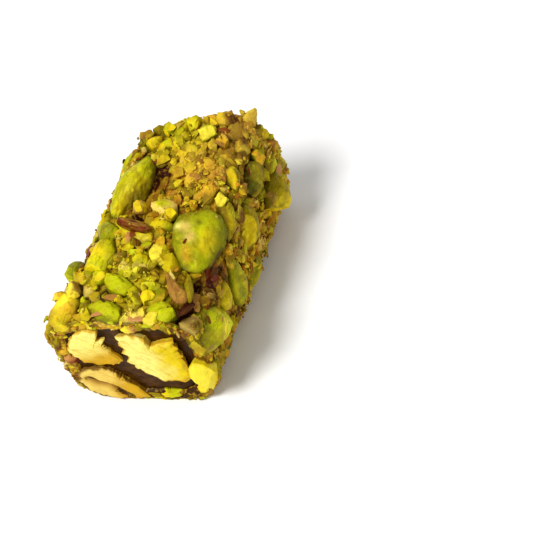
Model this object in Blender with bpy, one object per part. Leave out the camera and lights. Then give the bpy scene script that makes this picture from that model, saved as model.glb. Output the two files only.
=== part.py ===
"""A piece of pistachio Turkish delight, lying on its broad side.

A log of brown jelly holds whole pistachio kernels, which the two knife cuts lay open. A coat of pressed,
chopped pistachio wraps the log, and whole and half kernels stick in the coat. Metres, +Z up, +Y along the
log from the near cut to the far cut, origin in the middle of the underside. Sizes below are millimetres.
"""

import math
from dataclasses import dataclass

import bmesh
import bpy
import numpy as np
from mathutils import Matrix, Vector

MM = 0.001

# The log: half sizes of its section at both cuts, the section's power (2 is an ellipse, more is squarer).
NEAR_CUT = -22.0
FAR_CUT = 23.2
NEAR_HALF_WIDTH = 13.9
NEAR_HALF_HEIGHT = 11.7
FAR_HALF_WIDTH = 11.9
FAR_HALF_HEIGHT = 13.0
SECTION_POWER = 3.8
# How far each cut runs back at the right side and at the top.
NEAR_SLANT_RIGHT = 1.9
NEAR_SLANT_TOP = 0.4
FAR_SLANT_RIGHT = 4.6
FAR_SLANT_TOP = 0.4
# The log's own skin hangs this far above the surface that the lowest nuts stand on.
LIFT = 0.5
# Low waves that a rolled and pressed log has.
WAVE = 0.25

# The coat's outer and inner wall under the log's skin, and how far the jelly stays behind each cut.
COAT_OUTSIDE = 0.15
COAT_ROUGHNESS = 0.45
COAT_INSIDE = 2.2
GAP = 0.3
JELLY_SHRINK_BACK = 0.6
END_NUT_PROUD = 0.5

# Chopped pieces: spacing over the log, half sizes, and how far their middle lies under the skin.
PIECE_SPACING = 4.3
PIECE_HALF_SIZE = (2.1, 3.5)
PIECE_HALF_THICKNESS = (1.5, 2.3)
PIECE_PROUD = (0.8, 2.1)
PIECE_CORNERS = 9
CORNER_JITTER = 0.34
KERNEL_CLEARANCE = 0.9
SEED = 23

# How sharply two facets of a nut meet.
EDGE_POWER = 14.0

# Mesh fineness.
LOG_SEGMENTS = 24
LOG_RINGS = 6
COAT_RINGS = 9
KERNEL_SEGMENTS = 9
KERNEL_RINGS = 7
BEYOND = 6.0
SHARP_ANGLE = math.radians(40)


@dataclass(frozen=True)
class Nut:
    """A kernel or large piece: its place round and along the log, its turn, its size, and its cut facets.

    around is degrees from the right side, over the top. along is millimetres from the middle. turn is
    degrees from the log's length towards its right side. proud is how far the nut stands out of the skin.
    Each facet is (across, lengthwise, outward, distance): a plane's direction, and how near the middle
    it cuts.
    """

    name: str
    around: float
    along: float
    turn: float
    length: float
    width: float
    thickness: float
    proud: float
    tilt: float = 0.0
    taper: float = 0.12
    facets: tuple = ()


BROKEN_TOP = ((0.25, -0.15, 0.95, 0.66), (-0.62, 0.28, 0.74, 0.72), (0.1, 0.85, 0.55, 0.8))
SPLIT_FACE = ((0.05, 0.0, 1.0, 0.45),)
SIDE_CUT = ((0.75, 0.1, 0.65, 0.6),)
END_CUT = ((0.0, 1.0, 0.15, 0.62),)
BOTH_ENDS = ((0.1, 1.0, 0.1, 0.55), (-0.1, -1.0, 0.1, 0.6), (0.3, 0.0, 0.95, 0.6))

KERNELS = (
    Nut("kernel_centre", 60, -2.5, 173, 14.4, 9.4, 6.6, 2.3, facets=BROKEN_TOP),
    Nut("kernel_long", 106, 7.6, -177, 14.6, 6.6, 6.4, 2.4, taper=0.05),
    Nut("kernel_left_pale", 110, -9.5, -178, 9.4, 6.2, 6.0, 2.2, facets=END_CUT),
    Nut("kernel_near_right", 4, -15.2, -138, 14.2, 8.2, 6.4, 2.7),
    Nut("kernel_right_upright", 0, -2.4, 95, 12.4, 5.4, 5.4, 2.2),
    Nut("kernel_right_upper", 4, 8.0, 121, 9.8, 6.0, 5.6, 2.2, facets=SIDE_CUT),
    Nut("kernel_far_right", -2, 19.8, 143, 9.4, 6.4, 6.2, 4.2, facets=END_CUT),
    Nut("kernel_right_low", -48, -9.0, 32, 11.2, 6.8, 5.6, 1.3, facets=SIDE_CUT),
    Nut("kernel_left_far", 163, 13.6, 24, 13.2, 7.6, 6.4, 2.6),
    Nut("kernel_left_middle", 184, 1.0, 104, 12.0, 7.4, 6.0, 2.5, facets=BROKEN_TOP),
    Nut("kernel_left_near", 186, -12.8, 58, 12.2, 7.2, 6.2, 2.2, facets=SIDE_CUT),
    Nut("kernel_under_near", 262, -11.8, 72, 12.0, 7.4, 5.6, 0.9, facets=SPLIT_FACE),
    Nut("kernel_under_far", 274, 12.0, 14, 12.6, 7.0, 5.6, 0.9, facets=SPLIT_FACE),
)

# Pieces of the chopped coat that are set by hand, each too small to be a kernel of its own.
LARGE_PIECES = (
    Nut("edge", 32, 3.4, 153, 8.6, 4.2, 4.6, 1.6, taper=0.2),
    Nut("near_left_curl", 129, -20.2, 176, 9.4, 6.0, 6.0, 1.8, facets=SPLIT_FACE),
    Nut("right_olive", -15, 5.6, 149, 8.8, 5.0, 5.2, 1.7, taper=0.2),
    Nut("left_foot", 214, 12.6, -38, 11.0, 6.6, 5.6, 1.7, facets=SPLIT_FACE),
    Nut("orange", 4, -8.2, 158, 6.6, 5.2, 4.8, 1.9, facets=END_CUT),
    Nut("dark_green", 15, 16.6, 133, 7.0, 6.0, 4.8, 1.9, facets=BROKEN_TOP),
    Nut("left_edge", 151, -11.0, 166, 7.2, 4.2, 5.0, 2.2, facets=BOTH_ENDS),
    Nut("upright", 85, -7.5, 162, 5.8, 4.0, 4.2, 1.7, facets=BOTH_ENDS),
    Nut("wedge", 92, -4.6, 64, 6.8, 3.0, 3.6, 1.4, facets=SIDE_CUT),
    Nut("top_pale", 84, 20.6, 48, 5.4, 4.0, 4.0, 1.6, facets=BOTH_ENDS),
    Nut("top_left", 106, 17.2, 96, 4.6, 3.8, 3.8, 1.5, facets=END_CUT),
    Nut("low_green", 92, -20.0, 101, 7.6, 4.2, 3.8, 1.4, facets=BROKEN_TOP),
    Nut("bright", 69, -18.5, 91, 5.8, 4.6, 4.2, 1.6, facets=BROKEN_TOP),
    Nut("left_green", 114, -3.8, 120, 6.8, 4.6, 4.4, 1.7, facets=END_CUT),
    Nut("middle_green", 92, -14.0, 116, 6.6, 4.4, 4.2, 1.5, facets=BROKEN_TOP),
    Nut("small_pale", 50, 7.2, 100, 3.8, 3.2, 3.4, 1.3, facets=BOTH_ENDS),
    Nut("foot", 270, 0.0, 10, 9.4, 8.2, 4.6, 1.3, facets=((0.0, 0.0, 1.0, 0.75),)),
)


@dataclass(frozen=True)
class EndNut:
    """A kernel that a cut lays open: its middle on the cut (right, up), its turn there, and its size."""

    name: str
    right: float
    up: float
    turn: float
    length: float
    width: float
    depth: float


NEAR_END_NUTS = (
    EndNut("cut_kernel_left", -6.6, 16.0, -32, 11.6, 7.8, 9.0),
    EndNut("cut_kernel_right", 4.4, 14.4, -44, 13.6, 8.6, 9.0),
    EndNut("cut_kernel_low", -5.6, 5.6, -36, 11.0, 5.8, 8.0),
    EndNut("cut_kernel_corner", 12.4, 8.6, 72, 6.8, 5.6, 9.0),
)
FAR_END_NUTS = (
    EndNut("far_kernel_left", -4.8, 17.4, 38, 11.4, 7.6, 9.0),
    EndNut("far_kernel_right", 4.6, 12.4, 72, 12.4, 7.2, 9.0),
    EndNut("far_kernel_low", -4.4, 7.4, 8, 8.8, 6.0, 8.0),
)


def powered(value):
    """The superellipse's signed power of a sine or cosine."""
    return np.sign(value) * np.abs(value) ** (2.0 / SECTION_POWER)


def log_points(around, share, inset=0.0):
    """Points of the log's skin, moved inwards by inset.

    around is radians from the right side over the top, and share runs from 0 at the near cut to 1 at
    the far cut.
    """
    right, up = powered(np.cos(around)), powered(np.sin(around))
    wave = WAVE * (np.sin(3 * around + 3 * share) + np.sin(5 * around - 5 * share + 1.0))
    half_width = NEAR_HALF_WIDTH + (FAR_HALF_WIDTH - NEAR_HALF_WIDTH) * share
    half_height = NEAR_HALF_HEIGHT + (FAR_HALF_HEIGHT - NEAR_HALF_HEIGHT) * share
    near = NEAR_CUT + NEAR_SLANT_RIGHT * right + NEAR_SLANT_TOP * up
    far = FAR_CUT + FAR_SLANT_RIGHT * right + FAR_SLANT_TOP * up
    x = (half_width + wave - inset) * right
    y = near + (far - near) * share
    z = LIFT + half_height + (half_height + wave - inset) * up
    return np.stack([x, y, z], axis=-1)


def surface_frame(around_degrees, along):
    """(point, across, lengthwise, outward) on the log's skin at an angle and a place along it."""
    around = math.radians(around_degrees)
    right, up = powered(np.cos(around)), powered(np.sin(around))
    near = NEAR_CUT + NEAR_SLANT_RIGHT * right + NEAR_SLANT_TOP * up
    far = FAR_CUT + FAR_SLANT_RIGHT * right + FAR_SLANT_TOP * up
    share = (along - near) / (far - near)
    step = 0.02
    here = log_points(around, share)
    round_way = log_points(around + step, share) - log_points(around - step, share)
    long_way = log_points(around, share + step) - log_points(around, share - step)
    lengthwise = long_way / np.linalg.norm(long_way)
    outward = np.cross(lengthwise, round_way)
    outward /= np.linalg.norm(outward)
    across = np.cross(lengthwise, outward)
    return here, across, lengthwise, outward


def nut_points(directions, half_sizes, facets, taper):
    """An egg cut by flat facets: along each direction, the nearer of egg and facets, blended.

    With d the facet's direction cosine over its distance, the reach is (1 + the sum of d^p)^(-1/p).
    """
    closeness = np.ones(len(directions))
    for across, lengthwise, outward, distance in facets:
        plane = np.array([across, lengthwise, outward])
        plane = plane / np.linalg.norm(plane)
        closeness += np.maximum(directions @ plane / distance, 0.0) ** EDGE_POWER
    points = directions * closeness[:, None] ** (-1.0 / EDGE_POWER)
    points[:, [0, 2]] *= 1.0 + taper * points[:, 1:2]
    return points * half_sizes


def nut_matrix(nut, middle_depth):
    """The nut's own frame (across, lengthwise, outward), its middle middle_depth under the log's skin."""
    here, across, lengthwise, outward = surface_frame(nut.around, nut.along)
    turn = math.radians(nut.turn)
    long_axis = math.cos(turn) * lengthwise + math.sin(turn) * across
    side_axis = np.cross(long_axis, outward)
    middle = here - middle_depth * outward
    columns = np.stack([side_axis, long_axis, outward, middle], axis=1)
    place = Matrix([list(row) for row in columns] + [[0, 0, 0, 1]])
    return place @ Matrix.Rotation(math.radians(nut.tilt), 4, "X")


def direction_rows(mesh):
    """The vertices of a unit sphere as rows."""
    return np.array([v.co[:] for v in mesh.verts])


def move_vertices(mesh, points):
    """Puts a bmesh's vertices at these rows."""
    for vertex, point in zip(mesh.verts, points):
        vertex.co = point


def object_from(mesh, name, collection, material=None):
    """Makes an object in metres from a bmesh in millimetres, and frees the bmesh."""
    mesh.normal_update()
    bmesh.ops.recalc_face_normals(mesh, faces=mesh.faces)
    bmesh.ops.scale(mesh, vec=(MM, MM, MM), verts=mesh.verts)
    data = bpy.data.meshes.new(name)
    mesh.to_mesh(data)
    mesh.free()
    made = bpy.data.objects.new(name, data)
    collection.objects.link(made)
    if material:
        data.materials.append(material)
    return made


def as_cutter(made):
    """Marks an object as a helper that isn't part of the food."""
    made.hide_render = True
    made.display_type = "WIRE"
    return made


def shaped_log(name, collection, inset, overrun, rings=LOG_RINGS, roughness=0.0):
    """A cylinder moved onto the log's form: inset under its skin, its ends overrun beyond the two cuts."""
    mesh = bmesh.new()
    bmesh.ops.create_cone(
        mesh, cap_ends=True, cap_tris=False, segments=LOG_SEGMENTS, radius1=1, radius2=1, depth=1
    )
    for ring in range(1, rings):
        every = mesh.verts[:] + mesh.edges[:] + mesh.faces[:]
        height = ring / rings - 0.5
        bmesh.ops.bisect_plane(mesh, geom=every, plane_co=(0, 0, height), plane_no=(0, 0, 1))
    rows = direction_rows(mesh)
    around = np.arctan2(rows[:, 1], rows[:, 0])
    stretch = 1.0 + 2.0 * overrun / (FAR_CUT - NEAR_CUT)
    share = 0.5 + rows[:, 2] * stretch
    uneven = np.random.default_rng(SEED).uniform(-roughness, roughness, len(rows))
    move_vertices(mesh, log_points(around, share, inset + uneven))
    return object_from(mesh, name, collection)


def cut_plane(far, beyond):
    """(point, outward direction) of a cut, moved outwards by beyond. Both cuts are flat and slanted."""
    sign = 1.0 if far else -1.0
    half_width = FAR_HALF_WIDTH if far else NEAR_HALF_WIDTH
    half_height = FAR_HALF_HEIGHT if far else NEAR_HALF_HEIGHT
    slant_right = FAR_SLANT_RIGHT if far else NEAR_SLANT_RIGHT
    slant_top = FAR_SLANT_TOP if far else NEAR_SLANT_TOP
    cut = FAR_CUT if far else NEAR_CUT
    outward = Vector((-slant_right / half_width, 1.0, -slant_top / half_height)) * sign
    outward.normalize()
    middle = Vector((0.0, cut, LIFT + half_height))
    return middle + outward * beyond, outward


def trim(made, point, outward):
    """Cuts off what lies beyond a plane, in millimetres, and closes the cut."""
    mesh = bmesh.new()
    mesh.from_mesh(made.data)
    every = mesh.verts[:] + mesh.edges[:] + mesh.faces[:]
    bmesh.ops.bisect_plane(
        mesh, geom=every, plane_co=Vector(point) * MM, plane_no=outward, clear_outer=True, dist=1e-9
    )
    rim = [edge for edge in mesh.edges if edge.is_boundary]
    if rim:
        bmesh.ops.holes_fill(mesh, edges=rim, sides=0)
    bmesh.ops.recalc_face_normals(mesh, faces=mesh.faces)
    mesh.to_mesh(made.data)
    mesh.free()


def half_space(name, collection, point, outward):
    """A large box that fills the space beyond a plane, for cutting with."""
    size = 4 * FAR_CUT
    mesh = bmesh.new()
    bmesh.ops.create_cube(mesh, size=size)
    turn = Vector(outward).to_track_quat("Z", "Y").to_matrix().to_4x4()
    shift = Matrix.Translation(Vector(point) + Vector(outward).normalized() * size / 2)
    bmesh.ops.transform(mesh, matrix=shift @ turn, verts=mesh.verts)
    return as_cutter(object_from(mesh, name, collection))


def apply_boolean(made, operation, operand, solver="EXACT"):
    """Applies one Boolean: operand is an object or a collection."""
    boolean = made.modifiers.new("boolean", "BOOLEAN")
    boolean.operation = operation
    boolean.solver = solver
    if isinstance(operand, bpy.types.Collection):
        boolean.operand_type = "COLLECTION"
        boolean.collection = operand
    else:
        boolean.object = operand
    bpy.context.view_layer.update()
    graph = bpy.context.evaluated_depsgraph_get()
    result = bpy.data.meshes.new_from_object(made.evaluated_get(graph))
    made.modifiers.remove(boolean)
    old = made.data
    made.data = result
    bpy.data.meshes.remove(old)


def cut_away_each(made, cutters):
    """Takes a collection's cutters away one after another, since some of them overlap."""
    for cutter in list(cutters.objects):
        apply_boolean(made, "DIFFERENCE", cutter, solver="MANIFOLD")


def keep_one_body(made):
    """Drops loose scraps and the skins of sealed hollows, so that one closed body is left."""
    mesh = bmesh.new()
    mesh.from_mesh(made.data)
    bmesh.ops.triangulate(mesh, faces=mesh.faces)
    waiting = set(mesh.faces)
    bodies = []
    while waiting:
        first = waiting.pop()
        body, unvisited = [first], [first]
        while unvisited:
            face = unvisited.pop()
            for edge in face.edges:
                for other in edge.link_faces:
                    if other in waiting:
                        waiting.remove(other)
                        body.append(other)
                        unvisited.append(other)
        bodies.append(body)
    largest = max(bodies, key=len)
    scraps = [face for body in bodies if body is not largest for face in body]
    bmesh.ops.delete(mesh, geom=scraps, context="FACES")
    mesh.to_mesh(made.data)
    mesh.free()


def nut_object(nut, collection, grow=0.0, name=None, segments=KERNEL_SEGMENTS, rings=KERNEL_RINGS):
    """A kernel as a sphere moved onto the nut's form. grow makes it larger all round, for its pocket."""
    mesh = bmesh.new()
    bmesh.ops.create_uvsphere(mesh, u_segments=segments, v_segments=rings, radius=1)
    # The sphere's poles go to the nut's two tips.
    bmesh.ops.rotate(mesh, verts=mesh.verts, matrix=Matrix.Rotation(math.radians(-90), 3, "X"))
    half_sizes = np.array([nut.width, nut.length, nut.thickness]) / 2 + grow
    points = nut_points(direction_rows(mesh), half_sizes, nut.facets, nut.taper)
    move_vertices(mesh, points)
    top = top_of(nut)
    bmesh.ops.transform(mesh, matrix=nut_matrix(nut, top - nut.proud), verts=mesh.verts)
    return object_from(mesh, name or nut.name, collection)


def top_of(nut):
    """How far the nut reaches outwards from its middle."""
    outward = np.array([[0.0, 0.0, 1.0]])
    half_sizes = np.array([nut.width, nut.length, nut.thickness]) / 2
    return nut_points(outward, half_sizes, nut.facets, nut.taper)[0, 2]


def end_nut_object(nut, far, collection, grow=0.0, name=None):
    """A kernel lying in a cut: its flat, laid-open side stands a little proud of the cut."""
    point, outward = cut_plane(far, 0.0)
    slope = Vector((outward.x, 0.0, outward.z)) / outward.y
    y = point.y - slope.x * (nut.right - point.x) - slope.z * (nut.up - point.z)
    middle = Vector((nut.right, y, nut.up))
    turn = math.radians(nut.turn)
    long_axis = Vector((math.cos(turn), 0.0, math.sin(turn)))
    long_axis = (long_axis - outward * long_axis.dot(outward)).normalized()
    side_axis = long_axis.cross(outward)
    place = Matrix((side_axis, long_axis, outward)).transposed().to_4x4()
    place.translation = middle
    mesh = bmesh.new()
    bmesh.ops.create_uvsphere(mesh, u_segments=KERNEL_SEGMENTS + 2, v_segments=KERNEL_RINGS, radius=1)
    bmesh.ops.rotate(mesh, verts=mesh.verts, matrix=Matrix.Rotation(math.radians(-90), 3, "X"))
    half_sizes = np.array([nut.width, nut.length, nut.depth]) / 2 + grow
    move_vertices(mesh, nut_points(direction_rows(mesh), half_sizes, (), 0.12))
    bmesh.ops.transform(mesh, matrix=place, verts=mesh.verts)
    made = object_from(mesh, name or nut.name, collection)
    if not grow:
        trim(made, *cut_plane(far, END_NUT_PROUD))
    return made


def perimeter_places():
    """Even steps round the log's section, as (degrees, half-length share) from a table of arc lengths."""
    around = np.linspace(-math.pi / 2, 1.5 * math.pi, 721)
    ring = log_points(around, np.full_like(around, 0.5))
    steps = np.linalg.norm(np.diff(ring, axis=0), axis=1)
    return np.degrees(around), np.concatenate([[0.0], np.cumsum(steps)])


def chopped_pieces(rng):
    """The coat's scattered pieces as (piece, corners): a staggered, jittered grid, clear of the set nuts."""
    degrees, reach = perimeter_places()
    columns = int(round(reach[-1] / PIECE_SPACING))
    rows = int(round((FAR_CUT + FAR_SLANT_RIGHT - NEAR_CUT) / PIECE_SPACING))
    pieces = []
    for row in range(rows + 1):
        for column in range(columns):
            jitter = rng.uniform(-0.38, 0.38, 2)
            size = rng.uniform(*PIECE_HALF_SIZE, 2)
            thickness = rng.uniform(*PIECE_HALF_THICKNESS)
            proud = rng.uniform(*PIECE_PROUD)
            turn, tilt = rng.uniform(0, 360), rng.uniform(-22, 22)
            corners = even_directions(PIECE_CORNERS) + rng.normal(0.0, CORNER_JITTER, (PIECE_CORNERS, 3))
            corners /= np.linalg.norm(corners, axis=1, keepdims=True)
            place = (column + 0.5 * (row % 2) + jitter[0]) / columns % 1.0
            around = float(np.interp(place * reach[-1], reach, degrees))
            along = NEAR_CUT - 1.0 + (row + jitter[1]) * PIECE_SPACING
            lengths = (2 * size[0], 2 * size[1], 2 * thickness)
            piece = Nut(f"piece_{row}_{column}", around, along, turn, *lengths, proud, tilt)
            if clear_of_nuts(piece):
                pieces.append((piece, corners))
    return pieces


def even_directions(count):
    """Directions spread evenly over a ball, along a spiral from one pole to the other."""
    steps = np.arange(count) + 0.5
    height = 1.0 - 2.0 * steps / count
    angle = steps * math.pi * (3.0 - math.sqrt(5.0))
    level = np.sqrt(1.0 - height**2)
    return np.stack([level * np.cos(angle), level * np.sin(angle), height], axis=1)


def clear_of_nuts(piece):
    """Whether a scattered piece's middle is outside the footprint of every kernel and set piece."""
    here = surface_frame(piece.around, piece.along)[0]
    for nut in KERNELS + LARGE_PIECES:
        middle, across, lengthwise, _ = surface_frame(nut.around, nut.along)
        turn = math.radians(nut.turn)
        long_axis = math.cos(turn) * lengthwise + math.sin(turn) * across
        apart = here - middle
        along = apart @ long_axis
        beside = math.sqrt(max(apart @ apart - along * along, 0.0))
        long_share = along / (nut.length / 2 + KERNEL_CLEARANCE)
        wide_share = beside / (nut.width / 2 + KERNEL_CLEARANCE)
        if long_share**2 + wide_share**2 < 1.0:
            return False
    return True


def piece_object(piece, corners, collection):
    """A chopped piece: the tight skin over its corners, which lie on an egg."""
    half_sizes = np.array([piece.width, piece.length, piece.thickness]) / 2
    mesh = bmesh.new()
    for corner in corners * half_sizes:
        mesh.verts.new(corner)
    bmesh.ops.convex_hull(mesh, input=mesh.verts)
    bmesh.ops.transform(mesh, matrix=nut_matrix(piece, half_sizes[2] - piece.proud), verts=mesh.verts)
    return object_from(mesh, piece.name, collection)


def finish(name, colour, roughness):
    """A food material: a Principled shader with a base colour and a roughness."""
    material = bpy.data.materials.new(name)
    material.use_nodes = True
    shader = material.node_tree.nodes["Principled BSDF"]
    shader.inputs["Base Color"].default_value = (*colour, 1.0)
    shader.inputs["Roughness"].default_value = roughness
    shader.inputs["Metallic"].default_value = 0.0
    return material


def remove_all(collection):
    """Removes a helper collection with its objects."""
    for made in list(collection.objects):
        bpy.data.objects.remove(made)
    bpy.data.collections.remove(collection)


def new_collection(name):
    """A collection linked to the scene."""
    made = bpy.data.collections.new(name)
    bpy.context.scene.collection.children.link(made)
    return made


def build_coat(food, kernel_cutters, cutters):
    """The chopped coat: an overlong log and its pieces in one union, hollowed, pocketed and trimmed."""
    coat = shaped_log("chopped_coat", food, COAT_OUTSIDE, BEYOND, COAT_RINGS, COAT_ROUGHNESS)
    pieces = new_collection("chopped_pieces")
    for piece, corners in chopped_pieces(np.random.default_rng(SEED)):
        piece_object(piece, corners, pieces)
    for nut in LARGE_PIECES:
        nut_object(nut, pieces, segments=8, rings=6)
    apply_boolean(coat, "UNION", pieces)
    remove_all(pieces)
    hollow = as_cutter(shaped_log("hollow", cutters, COAT_INSIDE, 2 * BEYOND))
    apply_boolean(coat, "DIFFERENCE", hollow)
    cut_away_each(coat, kernel_cutters)
    ends = new_collection("coat_ends")
    half_space("near_end", ends, *cut_plane(False, 0.0))
    half_space("far_end", ends, *cut_plane(True, 0.0))
    half_space("below", ends, Vector((0, 0, 0)), Vector((0, 0, -1)))
    cut_away_each(coat, ends)
    remove_all(ends)
    keep_one_body(coat)
    return coat


def build_jelly(food, kernel_cutters):
    """The jelly core, drawn back a little from both cuts, with pockets where kernels press in."""
    jelly = shaped_log("jelly", food, COAT_INSIDE + GAP, 2 * BEYOND)
    trim(jelly, *cut_plane(False, -JELLY_SHRINK_BACK))
    trim(jelly, *cut_plane(True, -JELLY_SHRINK_BACK))
    cut_away_each(jelly, kernel_cutters)
    keep_one_body(jelly)
    return jelly


def build_kernels(food):
    """Every whole kernel, trimmed where it would cross a cut or the surface below."""
    made = [nut_object(nut, food) for nut in KERNELS]
    for kernel in made:
        trim(kernel, Vector((0, 0, 0)), Vector((0, 0, -1)))
        trim(kernel, *cut_plane(False, END_NUT_PROUD))
        trim(kernel, *cut_plane(True, END_NUT_PROUD))
    made += [end_nut_object(nut, False, food) for nut in NEAR_END_NUTS]
    made += [end_nut_object(nut, True, food) for nut in FAR_END_NUTS]
    return made


def main():
    """Clears the scene and builds the piece of Turkish delight."""
    for old in list(bpy.data.objects):
        bpy.data.objects.remove(old)
    food = new_collection("turkish_delight")
    cutters = new_collection("cutters")
    pockets = new_collection("pockets")
    for nut in KERNELS:
        as_cutter(nut_object(nut, pockets, grow=GAP, name=f"pocket_{nut.name}"))
    for nut in NEAR_END_NUTS:
        as_cutter(end_nut_object(nut, False, pockets, grow=GAP, name=f"pocket_{nut.name}"))
    for nut in FAR_END_NUTS:
        as_cutter(end_nut_object(nut, True, pockets, grow=GAP, name=f"pocket_{nut.name}"))

    coat = build_coat(food, pockets, cutters)
    jelly = build_jelly(food, pockets)
    kernels = build_kernels(food)
    remove_all(cutters)
    remove_all(pockets)

    coat.data.materials.clear()
    coat.data.materials.append(finish("chopped_pistachio", (0.42, 0.34, 0.03), 0.62))
    jelly.data.materials.clear()
    jelly.data.materials.append(finish("brown_jelly", (0.09, 0.04, 0.008), 0.25))
    green = finish("pistachio_skin", (0.32, 0.36, 0.02), 0.5)
    pale = finish("cut_pistachio", (0.85, 0.7, 0.2), 0.6)
    for kernel in kernels:
        kernel.data.materials.append(pale if kernel.name.startswith(("cut_", "far_")) else green)
        kernel.data.shade_smooth()
        kernel.data.set_sharp_from_angle(angle=SHARP_ANGLE)


main()
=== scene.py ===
"""Looks of a piece of pistachio Turkish delight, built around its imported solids.

The jelly, its pressed coat of chopped pistachio and the kernels in both are worked out again as fine meshes,
on the same log and the same seats as the solids, and dressed with procedural finishes. Sizes are millimetres
up to the moment a mesh is made. +Z is up, and +Y runs along the piece from the near cut to the far cut.
"""

import logging
import math
from collections.abc import Sequence
from dataclasses import dataclass, field
from enum import Enum
from itertools import combinations, product

import bpy
import numpy as np
from mathutils import Matrix, Vector


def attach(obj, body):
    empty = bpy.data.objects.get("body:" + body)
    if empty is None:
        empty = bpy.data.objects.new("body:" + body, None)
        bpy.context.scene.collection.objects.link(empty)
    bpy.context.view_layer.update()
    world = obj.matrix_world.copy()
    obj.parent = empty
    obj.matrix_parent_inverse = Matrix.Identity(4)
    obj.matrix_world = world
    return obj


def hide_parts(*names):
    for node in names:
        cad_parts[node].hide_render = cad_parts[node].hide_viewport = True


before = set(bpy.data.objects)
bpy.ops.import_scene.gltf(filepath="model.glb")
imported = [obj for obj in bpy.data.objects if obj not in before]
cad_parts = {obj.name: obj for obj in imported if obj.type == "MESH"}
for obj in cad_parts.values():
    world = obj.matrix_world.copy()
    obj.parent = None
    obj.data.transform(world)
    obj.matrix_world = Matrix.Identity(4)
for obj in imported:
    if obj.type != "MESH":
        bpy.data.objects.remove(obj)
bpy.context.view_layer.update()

Array = np.ndarray
Material = bpy.types.Material
Random = np.random.Generator
MM = 0.001
log_book = logging.getLogger("turkish_delight")


class Slot(Enum):
    """The record's material slots."""

    COAT = "chopped_pistachio"
    JELLY = "brown_jelly"
    KERNEL = "pistachio_kernel"
    CUT = "cut_pistachio"


class Tint(Enum):
    """Colours of nut, skin and paste: red, green and blue on the screen, out of 255."""

    LIME = (188, 188, 12)
    GREEN = (148, 148, 6)
    DEEP_GREEN = (98, 94, 16)
    OLIVE = (150, 130, 12)
    YELLOW = (222, 194, 18)
    PALE = (234, 214, 56)
    CREAM = (243, 229, 122)
    GOLD = (206, 160, 30)
    ORANGE = (180, 120, 18)
    TAN = (168, 118, 48)
    BEIGE = (228, 196, 94)
    PINK = (192, 134, 72)
    BROWN = (104, 64, 8)
    RED = (116, 40, 12)
    DARK_RED = (58, 20, 10)
    PASTE = (146, 108, 20)
    JELLY = (60, 34, 4)
    UMBER = (40, 18, 5)


def linear(tint: Tint) -> Array:
    """A tint's light, from 0 to 1: its value on a screen, raised by the screen's curve."""
    screen = np.array(tint.value) / 255.0
    return np.where(screen <= 0.04045, screen / 12.92, ((screen + 0.055) / 1.055) ** 2.4)


def linears(tints: Sequence[Tint]) -> Array:
    """One row of linear colour for each tint."""
    return np.array([linear(tint) for tint in tints])


def unit(vectors: Array) -> Array:
    """The vectors, each divided by its own length."""
    return vectors / np.linalg.norm(vectors, axis=-1, keepdims=True)


def smooth_step(low: float, high: float, value: Array) -> Array:
    """0 below low, 1 above high, and 3t^2 - 2t^3 of the share t in between."""
    share = np.clip((value - low) / (high - low), 0.0, 1.0)
    return share * share * (3.0 - 2.0 * share)


def blend(first: Array | Tint, second: Array | Tint, share: Array) -> Array:
    """Colours between first and second, row by row, by a share from 0 to 1."""
    first, second = (linear(colour) if isinstance(colour, Tint) else colour for colour in (first, second))
    return first + (second - first) * np.asarray(share)[..., None]


def drawn_tints(rng: Random, chances: dict[Tint, float], count: int) -> Array:
    """One row of linear colour for each of count random tints, by their chances."""
    return linears(list(chances))[rng.choice(len(chances), count, p=list(chances.values()))]


def each(rows: Sequence, name: str) -> Array:
    """One field of every row."""
    return np.array([getattr(row, name) for row in rows])


def half_sizes(nuts: Sequence["Nut"]) -> Array:
    """Half of each nut's width, length and thickness."""
    return np.stack([each(nuts, "width"), each(nuts, "length"), each(nuts, "thickness")], axis=1) / 2.0


def spread_out(local: Array, spacing: float) -> Array:
    """Copies' points, each copy moved to a place of its own, so that no two have the same relief."""
    return local + spacing * np.arange(len(local))[:, None, None]


def set_down(middles: Array, axes: Array, local: Array) -> Array:
    """Copies' points on the log: each middle, plus each local coordinate times its axis."""
    return middles[:, None] + np.einsum("nka,nva->nvk", axes, local)


def turned_axes(axes: Array, turn: Array, tilt: Array) -> Array:
    """Axes of copies: the log's length turned towards its right side, then tilted about the side axis.

    Args:
        axes: the seats' axes, with columns across, lengthwise and outwards.
        turn: radians from the log's length.
        tilt: radians out of the skin.

    Returns:
        Matrices whose columns point sideways, along the copy and outwards.
    """
    turn, tilt = turn[:, None], tilt[:, None]
    long_axis = np.cos(turn) * axes[..., 1] + np.sin(turn) * axes[..., 0]
    side_axis = np.cross(long_axis, axes[..., 2])
    tilted_long = np.cos(tilt) * long_axis + np.sin(tilt) * axes[..., 2]
    tilted_out = np.cos(tilt) * axes[..., 2] - np.sin(tilt) * long_axis
    return np.stack([side_axis, tilted_long, tilted_out], axis=-1)


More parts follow.
